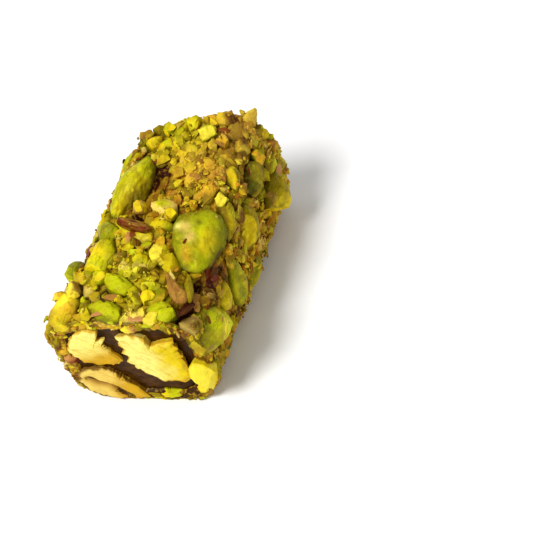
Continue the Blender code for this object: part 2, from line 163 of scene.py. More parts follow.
@dataclass(frozen=True)
class Grain:
    """Smooth random relief, the same each run: random values at cubes' corners, eased in between."""

    seed: int

    def at(self, points: Array, size: float | Array) -> Array:
        """The relief at points: with t the place in a cube, each axis eases by 3t^2 - 2t^3 between corners.

        Args:
            points: places, one row each, in millimetres.
            size: the cubes' edge, or one edge for each axis.

        Returns:
            Values from -1 to 1.
        """
        scaled = np.asarray(points, dtype=float) / size
        cell = np.floor(scaled)
        part = scaled - cell
        ease = part * part * (3.0 - 2.0 * part)
        cell = cell.astype(np.int64)
        total = np.zeros(scaled.shape[:-1])
        for corner in product((0, 1), repeat=3):
            share = np.prod(np.where(corner, ease, 1.0 - ease), axis=-1)
            total += share * self._corner(cell + corner)
        return 2.0 * total - 1.0

    def layers(self, points: Array, size: float, count: int = 3) -> Array:
        """Relief summed over layers, each with half the cube and half the height of the one before.

        Args:
            points: places in millimetres.
            size: the first layer's cubes.
            count: how many layers.

        Returns:
            Values from about -1 to 1.
        """
        total = np.zeros(np.shape(points)[:-1])
        for layer in range(count):
            total += 0.5**layer * Grain(self.seed + 7 * layer).at(points, size * 0.5**layer)
        return total / (2.0 - 0.5 ** (count - 1))

    def granules(self, points: Array, size: float) -> tuple[Array, Array, Array]:
        """Packed granules: each cube of space holds one random middle, and a point belongs to the nearest.

        Args:
            points: places, one row each, in millimetres.
            size: the cubes' edge.

        Returns:
            The distance to the nearest middle and how much farther the next one is, as shares of the size,
            and the granule's own random value from 0 to 1.
        """
        scaled = np.asarray(points, dtype=float) / size
        cell = np.floor(scaled).astype(np.int64)
        nearest = np.full(scaled.shape[:-1], 9.0)
        second, owner = nearest.copy(), np.zeros_like(nearest)
        for step in product((-1, 0, 1), repeat=3):
            home = cell + step
            place = np.stack([Grain(self.seed + 101 * axis + 1)._corner(home) for axis in range(3)], -1)
            apart = np.linalg.norm(home + 0.1 + 0.8 * place - scaled, axis=-1)
            closer = apart < nearest
            second = np.where(closer, nearest, np.minimum(second, apart))
            owner = np.where(closer, self._corner(home), owner)
            nearest = np.where(closer, apart, nearest)
        return nearest, second - nearest, owner

    def _corner(self, cell: Array) -> Array:
        """A random value from 0 to 1 for each whole-number corner, scrambled from its three numbers.

        Args:
            cell: the corners.

        Returns:
            One value for each.
        """
        mixed = cell[..., 0] * 73856093 ^ cell[..., 1] * 19349663 ^ cell[..., 2] * 83492791
        mixed = mixed ^ (self.seed * 2654435761)
        mixed = ((mixed ^ (mixed >> 13)) * 1274126177) & 0xFFFFFFFF
        return ((mixed ^ (mixed >> 16)) & 0xFFFF) / 65535.0


@dataclass(frozen=True)
class Relief:
    """Many reliefs at the same points, each by a number of its own."""

    seed: int
    points: Array

    def at(self, number: int, size: float | tuple) -> Array:
        """Relief of one layer."""
        return Grain(self.seed + number).at(self.points, size)

    def layers(self, number: int, size: float) -> Array:
        """Relief of three layers."""
        return Grain(self.seed + number).layers(self.points, size)


@dataclass(frozen=True)
class Log:
    """The rolled and cut log that everything sits on, formed as in the solids."""

    near_cut: float = -22.0
    far_cut: float = 23.2
    near_half_width: float = 13.9
    near_half_height: float = 11.7
    far_half_width: float = 11.9
    far_half_height: float = 13.0
    power: float = 3.8
    near_slant_right: float = 1.9
    near_slant_top: float = 0.4
    far_slant_right: float = 4.6
    far_slant_top: float = 0.4
    lift: float = 0.5
    wave: float = 0.25
    least_behind: float = 0.25

    def outline(self, around: Array) -> tuple[Array, Array]:
        """The section's unit outline: cosine and sine raised to 2 over the section's power, signs kept.

        Args:
            around: radians from the right side, over the top.

        Returns:
            Its places to the right and up.
        """
        cosine, sine = np.cos(around), np.sin(around)
        exponent = 2.0 / self.power
        return np.sign(cosine) * np.abs(cosine) ** exponent, np.sign(sine) * np.abs(sine) ** exponent

    def cuts(self, around: Array) -> tuple[Array, Array]:
        """Where the near and the far cut lie along the log, at each angle round it.

        Args:
            around: radians from the right side, over the top.

        Returns:
            Millimetres along the log, for each cut.
        """
        right, up = self.outline(around)
        near = self.near_cut + self.near_slant_right * right + self.near_slant_top * up
        far = self.far_cut + self.far_slant_right * right + self.far_slant_top * up
        return near, far

    def half_size(self, share: Array | float) -> tuple[Array | float, Array | float]:
        """Half the width and half the height, which run evenly from the near cut to the far one."""
        half_width = self.near_half_width + (self.far_half_width - self.near_half_width) * share
        return half_width, self.near_half_height + (self.far_half_height - self.near_half_height) * share

    def points(self, around: Array, share: Array, inset: Array | float = 0.0) -> Array:
        """Points of the log's skin, moved inwards.

        Two low waves run round the log. Each point is the unit outline times half size plus wave less inset.

        Args:
            around: radians from the right side, over the top.
            share: 0 at the near cut, 1 at the far cut.
            inset: millimetres under the skin.

        Returns:
            One row of x, y and z for each point.
        """
        right, up = self.outline(around)
        wave = np.sin(3 * around + 3 * share) + np.sin(5 * around - 5 * share + 1.0)
        half_width, half_height = self.half_size(share)
        near, far = self.cuts(around)
        x = (half_width + self.wave * wave - inset) * right
        y = near + (far - near) * share
        z = self.lift + half_height + (half_height + self.wave * wave - inset) * up
        return np.stack(np.broadcast_arrays(x, y, z), axis=-1)

    def seats(self, around_degrees: Array, along: Array) -> tuple[Array, Array]:
        """Places on the skin, each with its own axes.

        Args:
            around_degrees: degrees from the right side, over the top.
            along: millimetres along the log.

        Returns:
            The points, and matrices whose columns point across, lengthwise and outwards.
        """
        around = np.radians(around_degrees)
        near, far = self.cuts(around)
        share = (along - near) / (far - near)
        step = 0.02
        round_way = self.points(around + step, share) - self.points(around - step, share)
        lengthwise = unit(self.points(around, share + step) - self.points(around, share - step))
        outward = unit(np.cross(lengthwise, round_way))
        across = np.cross(lengthwise, outward)
        return self.points(around, share), np.stack([across, lengthwise, outward], axis=-1)

    def cut_plane(self, far: bool) -> tuple[Array, Array]:
        """A point of one cut, and the direction in which that cut faces.

        Args:
            far: whether it is the far one.

        Returns:
            The point and a unit direction.
        """
        half_width, half_height = self.half_size(float(far))
        sign, cut, slant_right, slant_top = -1.0, self.near_cut, self.near_slant_right, self.near_slant_top
        if far:
            sign, cut, slant_right, slant_top = 1.0, self.far_cut, self.far_slant_right, self.far_slant_top
        facing = sign * np.array([-slant_right / half_width, 1.0, -slant_top / half_height])
        return np.array([0.0, cut, self.lift + half_height]), unit(facing)

    def arcs(self) -> tuple[Array, Array]:
        """A table of degrees round the log and the way walked along its middle section, from the bottom.

        Returns:
            Degrees, and millimetres walked.
        """
        around = np.linspace(-math.pi / 2, 1.5 * math.pi, 721)
        ring = self.points(around, np.full_like(around, 0.5))
        steps = np.linalg.norm(np.diff(ring, axis=0), axis=1)
        return np.degrees(around), np.concatenate([[0.0], np.cumsum(steps)])

    def trim(self, points: Array, middles: Array, proud: Array | float) -> tuple[Array, Array]:
        """Cuts copies off at both cuts and at the ground.

        A point b beyond a plane is drawn towards its copy's middle, which lies m behind the plane, to
        m / (m + b) of its way from the middle. A copy whose middle is too near the plane moves back first.

        Args:
            points: N by V places in millimetres.
            middles: the copies' middles.
            proud: how far each copy may stand out of a cut.

        Returns:
            The points, and True where one was cut.
        """
        cut = np.zeros(points.shape[:-1], dtype=bool)
        ground = (np.zeros(3), np.array([0.0, 0.0, -1.0]), 0.0)
        planes = [(*self.cut_plane(far), proud) for far in (False, True)] + [ground]
        for place, facing, limit in planes:
            behind = np.reshape(limit, -1) - (middles - place) @ facing
            shift = np.maximum(self.least_behind - behind, 0.0)[:, None] * facing
            middles, points = middles - shift, points - shift[:, None]
            behind = np.maximum(behind, self.least_behind)[:, None]
            beyond = np.maximum((points - place) @ facing - limit, 0.0)
            keep = (behind / (behind + beyond))[..., None]
            points = middles[:, None] + (points - middles[:, None]) * keep
            cut |= beyond > 0.0
        return points, cut


@dataclass(frozen=True)
class Nut:
    """A kernel or a large bit: its seat on the log, its turn, its size, its cut facets and its colours.

    around is degrees from the right side, over the top, and turn is degrees from the log's length towards
    its right side. proud is how far the nut stands out of the skin. Each facet is (across, lengthwise,
    outward, distance): a plane's direction, and how near the middle it cuts.
    """

    name: str
    around: float
    along: float
    turn: float
    length: float
    width: float
    thickness: float
    proud: float
    facets: tuple = ()
    skin: Tint = Tint.LIME
    flesh: Tint = Tint.YELLOW
    taper: float = 0.12
    tilt: float = 0.0


BROKEN_TOP = ((0.25, -0.15, 0.95, 0.66), (-0.62, 0.28, 0.74, 0.72), (0.1, 0.85, 0.55, 0.8))
SPLIT_FACE = ((0.05, 0.0, 1.0, 0.45),)
SIDE_CUT = ((0.75, 0.1, 0.65, 0.6),)
END_CUT = ((0.0, 1.0, 0.15, 0.62),)
BOTH_ENDS = ((0.1, 1.0, 0.1, 0.55), (-0.1, -1.0, 0.1, 0.6), (0.3, 0.0, 0.95, 0.6))
FLAT_FOOT = ((0.0, 0.0, 1.0, 0.75),)
FAR_TOP = ((-0.6, 0.0, 0.8, 0.3),)
LOW_SIDE = ((-0.8, 0.5, 0.3, 0.68),)

KERNELS = (
    Nut("kernel_centre", 60, -2.5, 173, 14.4, 9.4, 6.6, 2.3, BROKEN_TOP, Tint.GREEN, Tint.GREEN, -0.28),
    Nut("kernel_long", 109.5, 7.0, -177, 16.0, 6.0, 6.4, 2.5, LOW_SIDE, Tint.LIME, Tint.YELLOW, 0.05),
    Nut("kernel_left_pale", 110, -9.5, -178, 9.4, 6.2, 6.0, 2.2, END_CUT),
    Nut("kernel_near_right", 3, -14.4, -138, 14.4, 8.4, 6.4, 2.8, (), Tint.LIME, Tint.YELLOW, 0.36, -6),
    Nut("kernel_right_upright", 0, -2.4, 95, 12.4, 5.4, 5.4, 2.2, (), Tint.GREEN),
    Nut("kernel_right_upper", 4, 8.0, 121, 9.8, 6.0, 5.6, 2.2, SIDE_CUT, Tint.OLIVE),
    Nut("kernel_far_right", -2, 19.8, 143, 9.4, 6.4, 6.2, 4.2, END_CUT, Tint.OLIVE),
    Nut("kernel_right_low", -48, -9.0, 32, 11.2, 6.8, 5.6, 1.3, SIDE_CUT, Tint.GREEN),
    Nut("kernel_left_far", 163, 13.6, 24, 13.2, 7.6, 6.4, 2.6),
    Nut("kernel_left_middle", 184, 1.0, 104, 12.0, 7.4, 6.0, 2.5, BROKEN_TOP, Tint.GREEN, Tint.PALE),
    Nut("kernel_left_near", 186, -12.8, 58, 12.2, 7.2, 6.2, 2.2, SIDE_CUT, Tint.OLIVE),
    Nut("kernel_under_near", 262, -11.8, 72, 12.0, 7.4, 5.6, 0.9, SPLIT_FACE, Tint.GREEN, Tint.PALE),
    Nut("kernel_under_far", 274, 12.0, 14, 12.6, 7.0, 5.6, 0.9, SPLIT_FACE),
)

SMALL_BITS = (
    Nut("red_sliver", 93.5, -2.6, 98, 7.4, 3.0, 3.4, 2.6, FAR_TOP, Tint.RED, Tint.TAN, 0.0),
    Nut("tan_block", 94.5, 1.6, 70, 3.6, 2.8, 2.8, 2.2, BOTH_ENDS, Tint.TAN, Tint.YELLOW, 0.1),
    Nut("gold_block", 87, 1.2, 40, 3.4, 2.8, 2.8, 2.0, BOTH_ENDS, Tint.OLIVE, Tint.YELLOW, 0.1),
    Nut("shard", 52.5, -12.4, 160, 5.6, 1.5, 1.8, 1.7, (), Tint.OLIVE, Tint.YELLOW, 0.1),
    Nut("tan_curl", 66, -13.6, 137, 6.6, 2.8, 1.6, 1.7, FLAT_FOOT, Tint.TAN, Tint.TAN, 0.5, -6),
    Nut("pink_curl", 73, -11.4, 160, 3.0, 1.6, 1.4, 1.7, FLAT_FOOT, Tint.BEIGE, Tint.BEIGE, 0.4),
    Nut("lime_a", 101, -13.4, 60, 4.4, 3.0, 3.0, 1.5, BOTH_ENDS, Tint.LIME, Tint.YELLOW, 0.1),
    Nut("lime_b", 83, -16.2, 30, 4.0, 2.8, 2.8, 1.5, BOTH_ENDS, Tint.LIME, Tint.YELLOW, 0.1),
    Nut("lime_c", 76, -20.2, 80, 4.2, 2.6, 2.6, 1.4, BOTH_ENDS, Tint.YELLOW, Tint.PALE, 0.1),
    Nut("curl_top", 122, -16.6, 150, 5.0, 2.6, 2.8, 2.5, BOTH_ENDS, Tint.TAN, Tint.PALE, 0.1),
    Nut("curl_side", 141, -18.0, 100, 4.2, 2.6, 3.0, 2.3, BOTH_ENDS, Tint.BROWN, Tint.GOLD, 0.1),
    Nut("far_a", 97, 20.4, 20, 3.8, 2.6, 2.6, 1.6, BOTH_ENDS, Tint.LIME, Tint.YELLOW, 0.1),
    Nut("far_b", 70, 19.2, 110, 3.6, 2.4, 2.6, 1.5, BOTH_ENDS, Tint.TAN, Tint.GOLD, 0.1),
    Nut("right_a", 34, 4.4, 160, 6.4, 2.4, 2.6, 1.5, (), Tint.OLIVE, Tint.LIME, 0.1),
    Nut("right_b", 45, 12.6, 140, 5.0, 3.0, 2.8, 1.5, SIDE_CUT, Tint.OLIVE, Tint.YELLOW, 0.1),
    Nut("right_c", 22, 20.4, 100, 4.6, 3.0, 2.8, 1.7, BOTH_ENDS, Tint.GREEN, Tint.GOLD, 0.1),
)

LARGE_BITS = (
    Nut("edge", 32, 3.4, 153, 8.6, 4.2, 4.6, 1.6, (), Tint.OLIVE, Tint.YELLOW, 0.2),
    Nut("near_left_curl", 129, -20.2, 176, 9.4, 6.0, 6.0, 1.8, SPLIT_FACE, Tint.YELLOW),
    Nut("right_olive", -15, 5.6, 149, 8.8, 5.0, 5.2, 1.7, (), Tint.GREEN, Tint.YELLOW, 0.2),
    Nut("left_foot", 214, 12.6, -38, 11.0, 6.6, 5.6, 1.7, SPLIT_FACE, Tint.GREEN),
    Nut("orange", 4, -8.2, 158, 6.6, 5.2, 4.8, 1.9, END_CUT, Tint.YELLOW, Tint.GOLD),
    Nut("dark_green", 15, 16.6, 133, 7.0, 6.0, 4.8, 1.9, BROKEN_TOP, Tint.DEEP_GREEN, Tint.OLIVE),
    Nut("left_edge", 151, -11.0, 166, 7.2, 4.2, 5.0, 2.2, BOTH_ENDS, Tint.GREEN, Tint.LIME),
    Nut("upright", 85, -7.5, 162, 5.8, 4.0, 4.2, 2.1, BOTH_ENDS, Tint.YELLOW, Tint.PALE),
    Nut("wedge", 92, -4.6, 64, 6.8, 3.0, 3.6, 1.4, SIDE_CUT, Tint.YELLOW, Tint.PALE),
    Nut("top_pale", 84, 20.6, 48, 5.4, 4.0, 4.0, 1.6, BOTH_ENDS, Tint.LIME, Tint.PALE),
    Nut("top_left", 106, 17.2, 96, 4.6, 3.8, 3.8, 1.5, END_CUT, Tint.YELLOW),
    Nut("low_green", 92, -20.0, 101, 7.6, 4.2, 3.8, 1.4, BROKEN_TOP, Tint.GREEN, Tint.LIME),
    Nut("bright", 69, -18.5, 91, 5.8, 4.6, 4.2, 1.6, BROKEN_TOP, Tint.LIME, Tint.LIME),
    Nut("left_green", 114, -3.8, 120, 6.8, 4.6, 4.4, 1.7, END_CUT, Tint.GREEN, Tint.LIME),
    Nut("middle_green", 92, -14.0, 116, 6.6, 4.4, 4.2, 1.5, BROKEN_TOP, Tint.LIME, Tint.LIME),
    Nut("small_pale", 50, 7.2, 100, 3.8, 3.2, 3.4, 1.3, BOTH_ENDS, Tint.PALE, Tint.PALE),
    Nut("foot", 270, 0.0, 10, 9.4, 8.2, 4.6, 1.3, FLAT_FOOT, Tint.OLIVE),
)


@dataclass(frozen=True)
class EndNut:
    """A kernel that a cut lays open.

    right and up place its middle on the cut, and turn is its long axis, in degrees. Its flesh shades from one
    tint to another in the direction toward. outline holds its corners on the cut, right and up.
    """

    name: str
    right: float
    up: float
    turn: float
    length: float
    flesh: Tint
    flesh_far: Tint
    rim: Tint
    toward: float
    outline: tuple
    proud: float = 0.5
    split: bool = False
    scored: float = 1.0
    round_from: float = 0.84
    split_at: float = -0.3


LEFT_OUTLINE = (
    (-7.9, 21.2), (-4.6, 21.2), (-4.6, 19.6), (-5.4, 18.4), (-3.4, 18.8), (-4.6, 16.8), (-3.4, 14.6),
    (-1.9, 12.4), (-3.6, 11.1), (-7.2, 10.9), (-9.6, 11.6), (-11.2, 13.2), (-12.2, 15.2), (-10.6, 18.0),
)
RIGHT_OUTLINE = (
    (-1.2, 19.6), (0.9, 20.3), (3.9, 19.5), (4.5, 17.0), (6.2, 18.0), (9.2, 18.6), (9.4, 16.2), (9.7, 13.9),
    (10.2, 10.8), (10.0, 8.2), (8.2, 6.3), (5.0, 6.6), (2.6, 8.3), (0.4, 10.5), (-1.0, 12.4), (-0.4, 13.6),
    (-1.7, 15.0), (-0.6, 16.0), (-1.6, 17.4), (-0.6, 18.4),
)
LOW_OUTLINE = (
    (-12.2, 7.8), (-10.5, 9.5), (-6.9, 9.9), (-4.9, 9.2), (-3.4, 6.8), (-1.2, 4.0), (0.6, 1.2), (-1.6, 0.3),
    (-6.2, 0.3), (-9.6, 0.9), (-11.6, 3.0), (-12.6, 5.6),
)
CORNER_OUTLINE = (
    (10.3, 11.6), (11.6, 13.4), (13.6, 12.8), (15.2, 10.6), (15.0, 8.2), (13.6, 5.4), (11.4, 6.2),
    (10.0, 8.6),
)
FAR_LEFT_OUTLINE = (
    (-9.6, 13.6), (-5.6, 13.4), (-2.0, 15.4), (0.2, 18.4), (0.0, 21.2), (-2.8, 22.4), (-6.0, 21.2),
    (-9.0, 18.0),
)
FAR_RIGHT_OUTLINE = (
    (1.2, 8.0), (3.4, 6.0), (6.2, 7.0), (7.8, 10.4), (8.4, 14.6), (7.4, 18.6), (5.0, 18.8), (3.0, 16.0),
    (1.4, 12.4),
)
FAR_LOW_OUTLINE = (
    (-8.6, 5.6), (-5.8, 4.0), (-1.8, 4.8), (0.2, 7.4), (-0.8, 9.8), (-4.0, 10.8), (-7.4, 9.6),
)
NEAR_END_NUTS = (
    EndNut(
        "cut_kernel_left", -6.6, 16.0, -32, 11.6, Tint.CREAM, Tint.GOLD, Tint.GOLD, -70, LEFT_OUTLINE,
    ),
    EndNut(
        "cut_kernel_right", 4.4, 14.4, -44, 13.6,
        Tint.CREAM, Tint.YELLOW, Tint.GOLD, 5, RIGHT_OUTLINE, 0.75,
    ),
    EndNut(
        "cut_kernel_low", -5.6, 5.6, -36, 11.0,
        Tint.BEIGE, Tint.GOLD, Tint.BROWN, -20, LOW_OUTLINE, 0.6, True, 0.8, 0.84, -1.9,
    ),
    EndNut(
        "cut_kernel_corner", 12.4, 8.6, 72, 6.8,
        Tint.PALE, Tint.PALE, Tint.YELLOW, -40, CORNER_OUTLINE, 1.9, False, 0.2, 0.5,
    ),
)
FAR_END_NUTS = (
    EndNut(
        "far_kernel_left", -4.8, 17.4, 38, 11.4, Tint.CREAM, Tint.YELLOW, Tint.BROWN, 90, FAR_LEFT_OUTLINE,
    ),
    EndNut(
        "far_kernel_right", 4.6, 12.4, 72, 12.4,
        Tint.PALE, Tint.LIME, Tint.OLIVE, -30, FAR_RIGHT_OUTLINE, 0.6, True,
    ),
    EndNut(
        "far_kernel_low", -4.4, 7.4, 8, 8.8, Tint.CREAM, Tint.GOLD, Tint.BROWN, -90, FAR_LOW_OUTLINE,
    ),
)


NEAR_END_BITS = (
    EndNut(
        "small_yellow", 11.1, 4.0, 10, 3.0, Tint.YELLOW, Tint.PALE, Tint.GOLD, 60,
        ((9.6, 4.2), (11.1, 5.4), (12.7, 4.8), (12.2, 3.1), (10.1, 2.5)), 0.7, False, 0.2, 0.4,
    ),
    EndNut(
        "pink_skin", -12.1, 12.4, 20, 3.2, Tint.PINK, Tint.RED, Tint.RED, -60,
        ((-13.8, 12.9), (-12.0, 14.2), (-10.2, 12.8), (-10.4, 11.2), (-12.9, 10.8)), 0.55, False, 0.3, 0.4,
    ),
    EndNut(
        "brown_corner", -13.2, 16.9, 80, 4.6, Tint.BROWN, Tint.OLIVE, Tint.DARK_RED, 90,
        ((-12.2, 19.6), (-11.9, 17.2), (-13.0, 14.4), (-14.4, 15.0), (-14.0, 18.0)), 0.6, False, 0.4, 0.4,
    ),
    EndNut(
        "pale_chip", 1.6, 21.6, 10, 3.4, Tint.PALE, Tint.PINK, Tint.TAN, 0,
        ((-0.4, 21.4), (1.4, 22.7), (3.6, 22.2), (3.4, 20.8), (0.8, 20.6)), 0.5, False, 0.5, 0.5,
    ),
    EndNut(
        "green_foot", 4.4, 1.8, 5, 5.0, Tint.LIME, Tint.YELLOW, Tint.GREEN, 180,
        ((1.8, 2.0), (3.6, 3.0), (6.6, 2.8), (7.2, 1.5), (4.8, 0.6), (2.4, 0.8)), 0.5, False, 0.5, 0.5,
    ),
)


def grid_triangles(rows: int, columns: int, wrap_columns: bool = True) -> Array:
    """Two triangles for each cell of a grid whose points are numbered row by row.

    Args:
        rows: points in the first direction.
        columns: points in the second direction.
        wrap_columns: whether the last column joins the first.

    Returns:
        One row of three point numbers for each triangle.
    """
    row, column = np.meshgrid(
        np.arange(rows - 1), np.arange(columns if wrap_columns else columns - 1), indexing="ij"
    )
    following = (column + 1) % columns
    first, second = row * columns + column, row * columns + following
    third, fourth = (row + 1) * columns + following, (row + 1) * columns + column
    halves = [np.stack([first, second, third], -1), np.stack([first, third, fourth], -1)]
    return np.concatenate([half.reshape(-1, 3) for half in halves])


def ball(columns: int, rows: int) -> tuple[Array, Array]:
    """A ball by longitude and latitude about its long axis, y, with both poles closed.

    Args:
        columns: points round y.
        rows: steps from pole to pole.

    Returns:
        Unit directions, and triangles that face outwards.
    """
    longitude = np.arange(columns) * 2 * math.pi / columns
    latitude = (np.arange(1, rows) / rows - 0.5) * math.pi
    level, turn = np.meshgrid(latitude, longitude, indexing="ij")
    rings = np.stack([np.cos(level) * np.cos(turn), np.sin(level), np.cos(level) * np.sin(turn)], -1)
    directions = np.concatenate([[[0.0, -1.0, 0.0]], rings.reshape(-1, 3), [[0.0, 1.0, 0.0]]])
    last = len(directions) - 1
    ring = np.arange(columns)
    following = (ring + 1) % columns
    first_cap = np.stack([np.zeros(columns, int), 1 + ring, 1 + following], -1)
    top = 1 + (rows - 2) * columns
    last_cap = np.stack([np.full(columns, last), top + following, top + ring], -1)
    walls = 1 + grid_triangles(rows - 1, columns)[:, ::-1]
    return directions, outwards(directions, np.concatenate([first_cap, walls, last_cap]))


def outwards(points: Array, triangles: Array) -> Array:
    """The triangles, turned over if the volume that they close counts as negative."""
    first, second, third = points[triangles].swapaxes(0, 1)
    return triangles if (first * np.cross(second, third)).sum() > 0 else triangles[:, ::-1]


def cut_reach(
    directions: Array, planes: Array, distances: Array, power: float, skin: Array | float = 1.0
) -> tuple[Array, Array]:
    """Reach and skin share of balls cut by planes, many at once.

    With c a direction's cosine to a plane over that plane's distance, the reach is (skin + the sum of
    c^power)^(-1/power): the nearest cut wins and edges are a little worn. The skin's share is its part.

    Args:
        directions: unit directions, V rows.
        planes: unit normals, N by K rows.
        distances: N by K distances from the middle.
        power: how sharp the edges are.
        skin: 1 for the ball's own skin, 0 for none, or a sum for each direction.

    Returns:
        The reach and the skin's share, N by V each.
    """
    total = skin + cut_sum(directions, planes, distances, power)
    return total ** (-1.0 / power), skin / total


def cut_sum(directions: Array, planes: Array, distances: Array, power: float) -> Array:
    """The planes' part of the sum: each direction's cosine over each plane's distance, raised, summed up."""
    cosines = np.einsum("vk,npk->nvp", directions, planes)
    return ((np.maximum(cosines, 0.0) / distances[:, None, :]) ** power).sum(-1)


def nearest_plane(directions: Array, planes: Array, distances: Array) -> Array:
    """The number of the plane that each direction meets first."""
    return (np.einsum("vk,npk->nvp", directions, planes) / distances[:, None, :]).argmax(axis=-1)


class Wire:
    """A shader socket that takes part in sums: each operator adds one Math node."""

    def __init__(self, bench: "Bench", socket: bpy.types.NodeSocket) -> None:
        """Keeps the socket and the bench whose tree it is in."""
        self.bench = bench
        self.socket = socket

    def __add__(self, other: "Wire | float") -> "Wire":
        """This plus other."""
        return self.bench.sum_node("ADD", self, other)

    def __mul__(self, other: "Wire | float") -> "Wire":
        """This times other."""
        return self.bench.sum_node("MULTIPLY", self, other)

    def __sub__(self, other: "Wire | float") -> "Wire":
        """This less other."""
        return self.bench.sum_node("SUBTRACT", self, other)

    def __rsub__(self, other: float) -> "Wire":
        """Other less this."""
        return self.bench.sum_node("SUBTRACT", other, self)

    __radd__ = __add__
    __rmul__ = __mul__

    def limited(self) -> "Wire":
        """This, held between 0 and 1."""
        return self.bench.node("ShaderNodeClamp", inputs={"Value": self})


class Bench:
    """Builds one material's nodes."""

    def __init__(self, name: str) -> None:
        """Starts a material that holds only its output and a Principled shader.

        Args:
            name: the material's name.
        """
        self.material = bpy.data.materials.new(name)
        self.material.use_nodes = True
        self.tree = self.material.node_tree
        self.shader = self.tree.nodes["Principled BSDF"]

    def node(
        self, kind: str, settings: dict | None = None, inputs: dict | None = None, output: str = ""
    ) -> Wire:
        """Adds any node.

        Args:
            kind: the node's type.
            settings: its properties, set first. "stops" holds a ramp's (place, colour) pairs.
            inputs: values or wires, by the socket's name or number.
            output: the wanted output's name, or nothing for the first one in use.

        Returns:
            The output as a wire.
        """
        made = self.tree.nodes.new(kind)
        for name, value in (settings or {}).items():
            if name == "stops":
                self._set_stops(made.color_ramp, value)
            else:
                setattr(made, name, value)
        for name, value in (inputs or {}).items():
            self._feed(made.inputs[name], value)
        found = made.outputs[output] if output else next(s for s in made.outputs if s.enabled)
        return Wire(self, found)

    def sum_node(self, operation: str, first: Wire | float, second: Wire | float) -> Wire:
        """One Math node on two values."""
        return self.node("ShaderNodeMath", {"operation": operation}, {0: first, 1: second})

    def mix(self, share: Wire | float, first: object, second: object) -> Wire:
        """Mixes two colours by a share."""
        return self.node("ShaderNodeMix", {"data_type": "RGBA"}, {0: share, 6: first, 7: second})

    def attribute(self, name: str, output: str) -> Wire:
        """Reads one of the mesh's own attributes."""
        return self.node("ShaderNodeAttribute", {"attribute_name": name}, output=output)

    def noise(self, size: float, detail: float = 2.0, stretch: tuple = (1.0, 1.0, 1.0)) -> Wire:
        """Noise on object coordinates whose features measure about size millimetres.

        Args:
            size: of its features.
            detail: how many finer layers.
            stretch: the scale along each axis.

        Returns:
            Values from 0 to 1.
        """
        place = self.node("ShaderNodeTexCoord", output="Object")
        scaled = self.node("ShaderNodeMapping", inputs={"Vector": place, "Scale": stretch})
        inputs = {"Vector": scaled, "Scale": 1.0 / (size * MM), "Detail": detail, "Roughness": 0.6}
        return self.node("ShaderNodeTexNoise", inputs=inputs, output="Fac")

    def spots(self, size: float, detail: float, floor: float, steep: float) -> Wire:
        """Spots from 0 to 1, where noise rises above a floor."""
        return ((self.noise(size, detail) - floor) * steep).limited()

    def shaded(self, colour: Wire, value: Wire, hue: Wire | float = 0.5) -> Wire:
        """A colour made lighter or darker, and its hue shifted where hue isn't 0.5."""
        return self.node("ShaderNodeHueSaturation", inputs={"Color": colour, "Value": value, "Hue": hue})

    def finish(
        self, sockets: dict, height: Wire | None = None, depth: float = 0.0, strength: float = 0.0
    ) -> Material:
        """Feeds the shader, and gives it relief where there is any.

        Args:
            sockets: values or wires for the shader's sockets, by name.
            height: the relief, from 0 to 1.
            depth: what that relief stands for, in millimetres.
            strength: how much of it shows.

        Returns:
            The finished material.
        """
        if height is not None:
            inputs = {"Height": height, "Distance": depth * MM, "Strength": strength}
            sockets = sockets | {"Normal": self.node("ShaderNodeBump", inputs=inputs)}
        for name, value in sockets.items():
            self._feed(self.shader.inputs[name], value)
        return self.material

    def _feed(self, socket: bpy.types.NodeSocket, value: object) -> None:
        """Links a wire to a socket, or sets the socket's value."""
        if isinstance(value, Wire):
            self.tree.links.new(value.socket, socket)
        elif isinstance(value, Tint):
            socket.default_value = (*linear(value), 1.0)
        else:
            socket.default_value = value

    @staticmethod
    def _set_stops(ramp: bpy.types.ColorRamp, stops: Sequence[tuple]) -> None:
        """Puts (place, colour) pairs on a ramp.

        Args:
            ramp: the ramp.
            stops: the pairs.
        """
        for _ in range(len(stops) - len(ramp.elements)):
            ramp.elements.new(0.5)
        for element, (place, colour) in zip(ramp.elements, stops):
            element.position = place
            element.color = (*linear(colour), 1.0)


@dataclass(frozen=True)
class NutFinish:
    """Skin and flesh of pistachio: colour from the mesh, mottled, flecked and finely rough."""

    name: str
    roughness: float = 0.5
    gloss_on_skin: float = 0.12
    mottle: float = 0.6
    fleck: float = 0.5
    # Strength of the pale cream spots: partly a paler tone of the nut, partly painted highlights.
    pale_spots_and_highlights: float = 0.45
    crease: float = 0.28
    crease_narrowness: float = 900.0
    relief: float = 0.22

    def make(self) -> Material:
        """Builds the material. A crease runs where noise crosses its middle value.

        Returns:
            The material.
        """
        bench = Bench(self.name)
        skin = bench.attribute("skin", "Fac")
        broad, fine = bench.noise(1.5, 3.0), bench.noise(0.32, 3.0)
        shade = 1.0 + (broad - 0.5) * self.mottle + (fine - 0.5) * self.mottle
        mottled = bench.shaded(bench.attribute("tint", "Color"), shade, 0.5 + (broad - 0.5) * 0.06)
        # Pale cream spots on the nut: partly a paler tone, partly painted highlights.
        spotted_and_highlighted = bench.mix(bench.spots(1.2, 4.0, 0.56, 5.0) * self.pale_spots_and_highlights, mottled, Tint.PALE)
        stain = bench.spots(1.9, 4.0, 0.54, 3.5) * self.fleck
        stained = bench.mix(stain * (0.35 + 0.65 * skin), spotted_and_highlighted, Tint.TAN)
        off_middle = bench.noise(3.6, 2.0, (1.4, 0.6, 1.4)) - 0.5
        crease = (1.0 - off_middle * off_middle * self.crease_narrowness).limited() * skin
        sockets = {
            "Base Color": bench.mix(crease * self.crease, stained, Tint.DEEP_GREEN),
            "Roughness": (self.roughness + (fine - 0.5) * 0.4 - skin * self.gloss_on_skin).limited(),
            "Coat Weight": 0.02,
            "Coat Roughness": 0.25,
            "Specular IOR Level": 0.05,
        }
        return bench.finish(sockets, fine * 0.6 + broad * 0.4 - crease * 0.5, self.relief, 0.8)


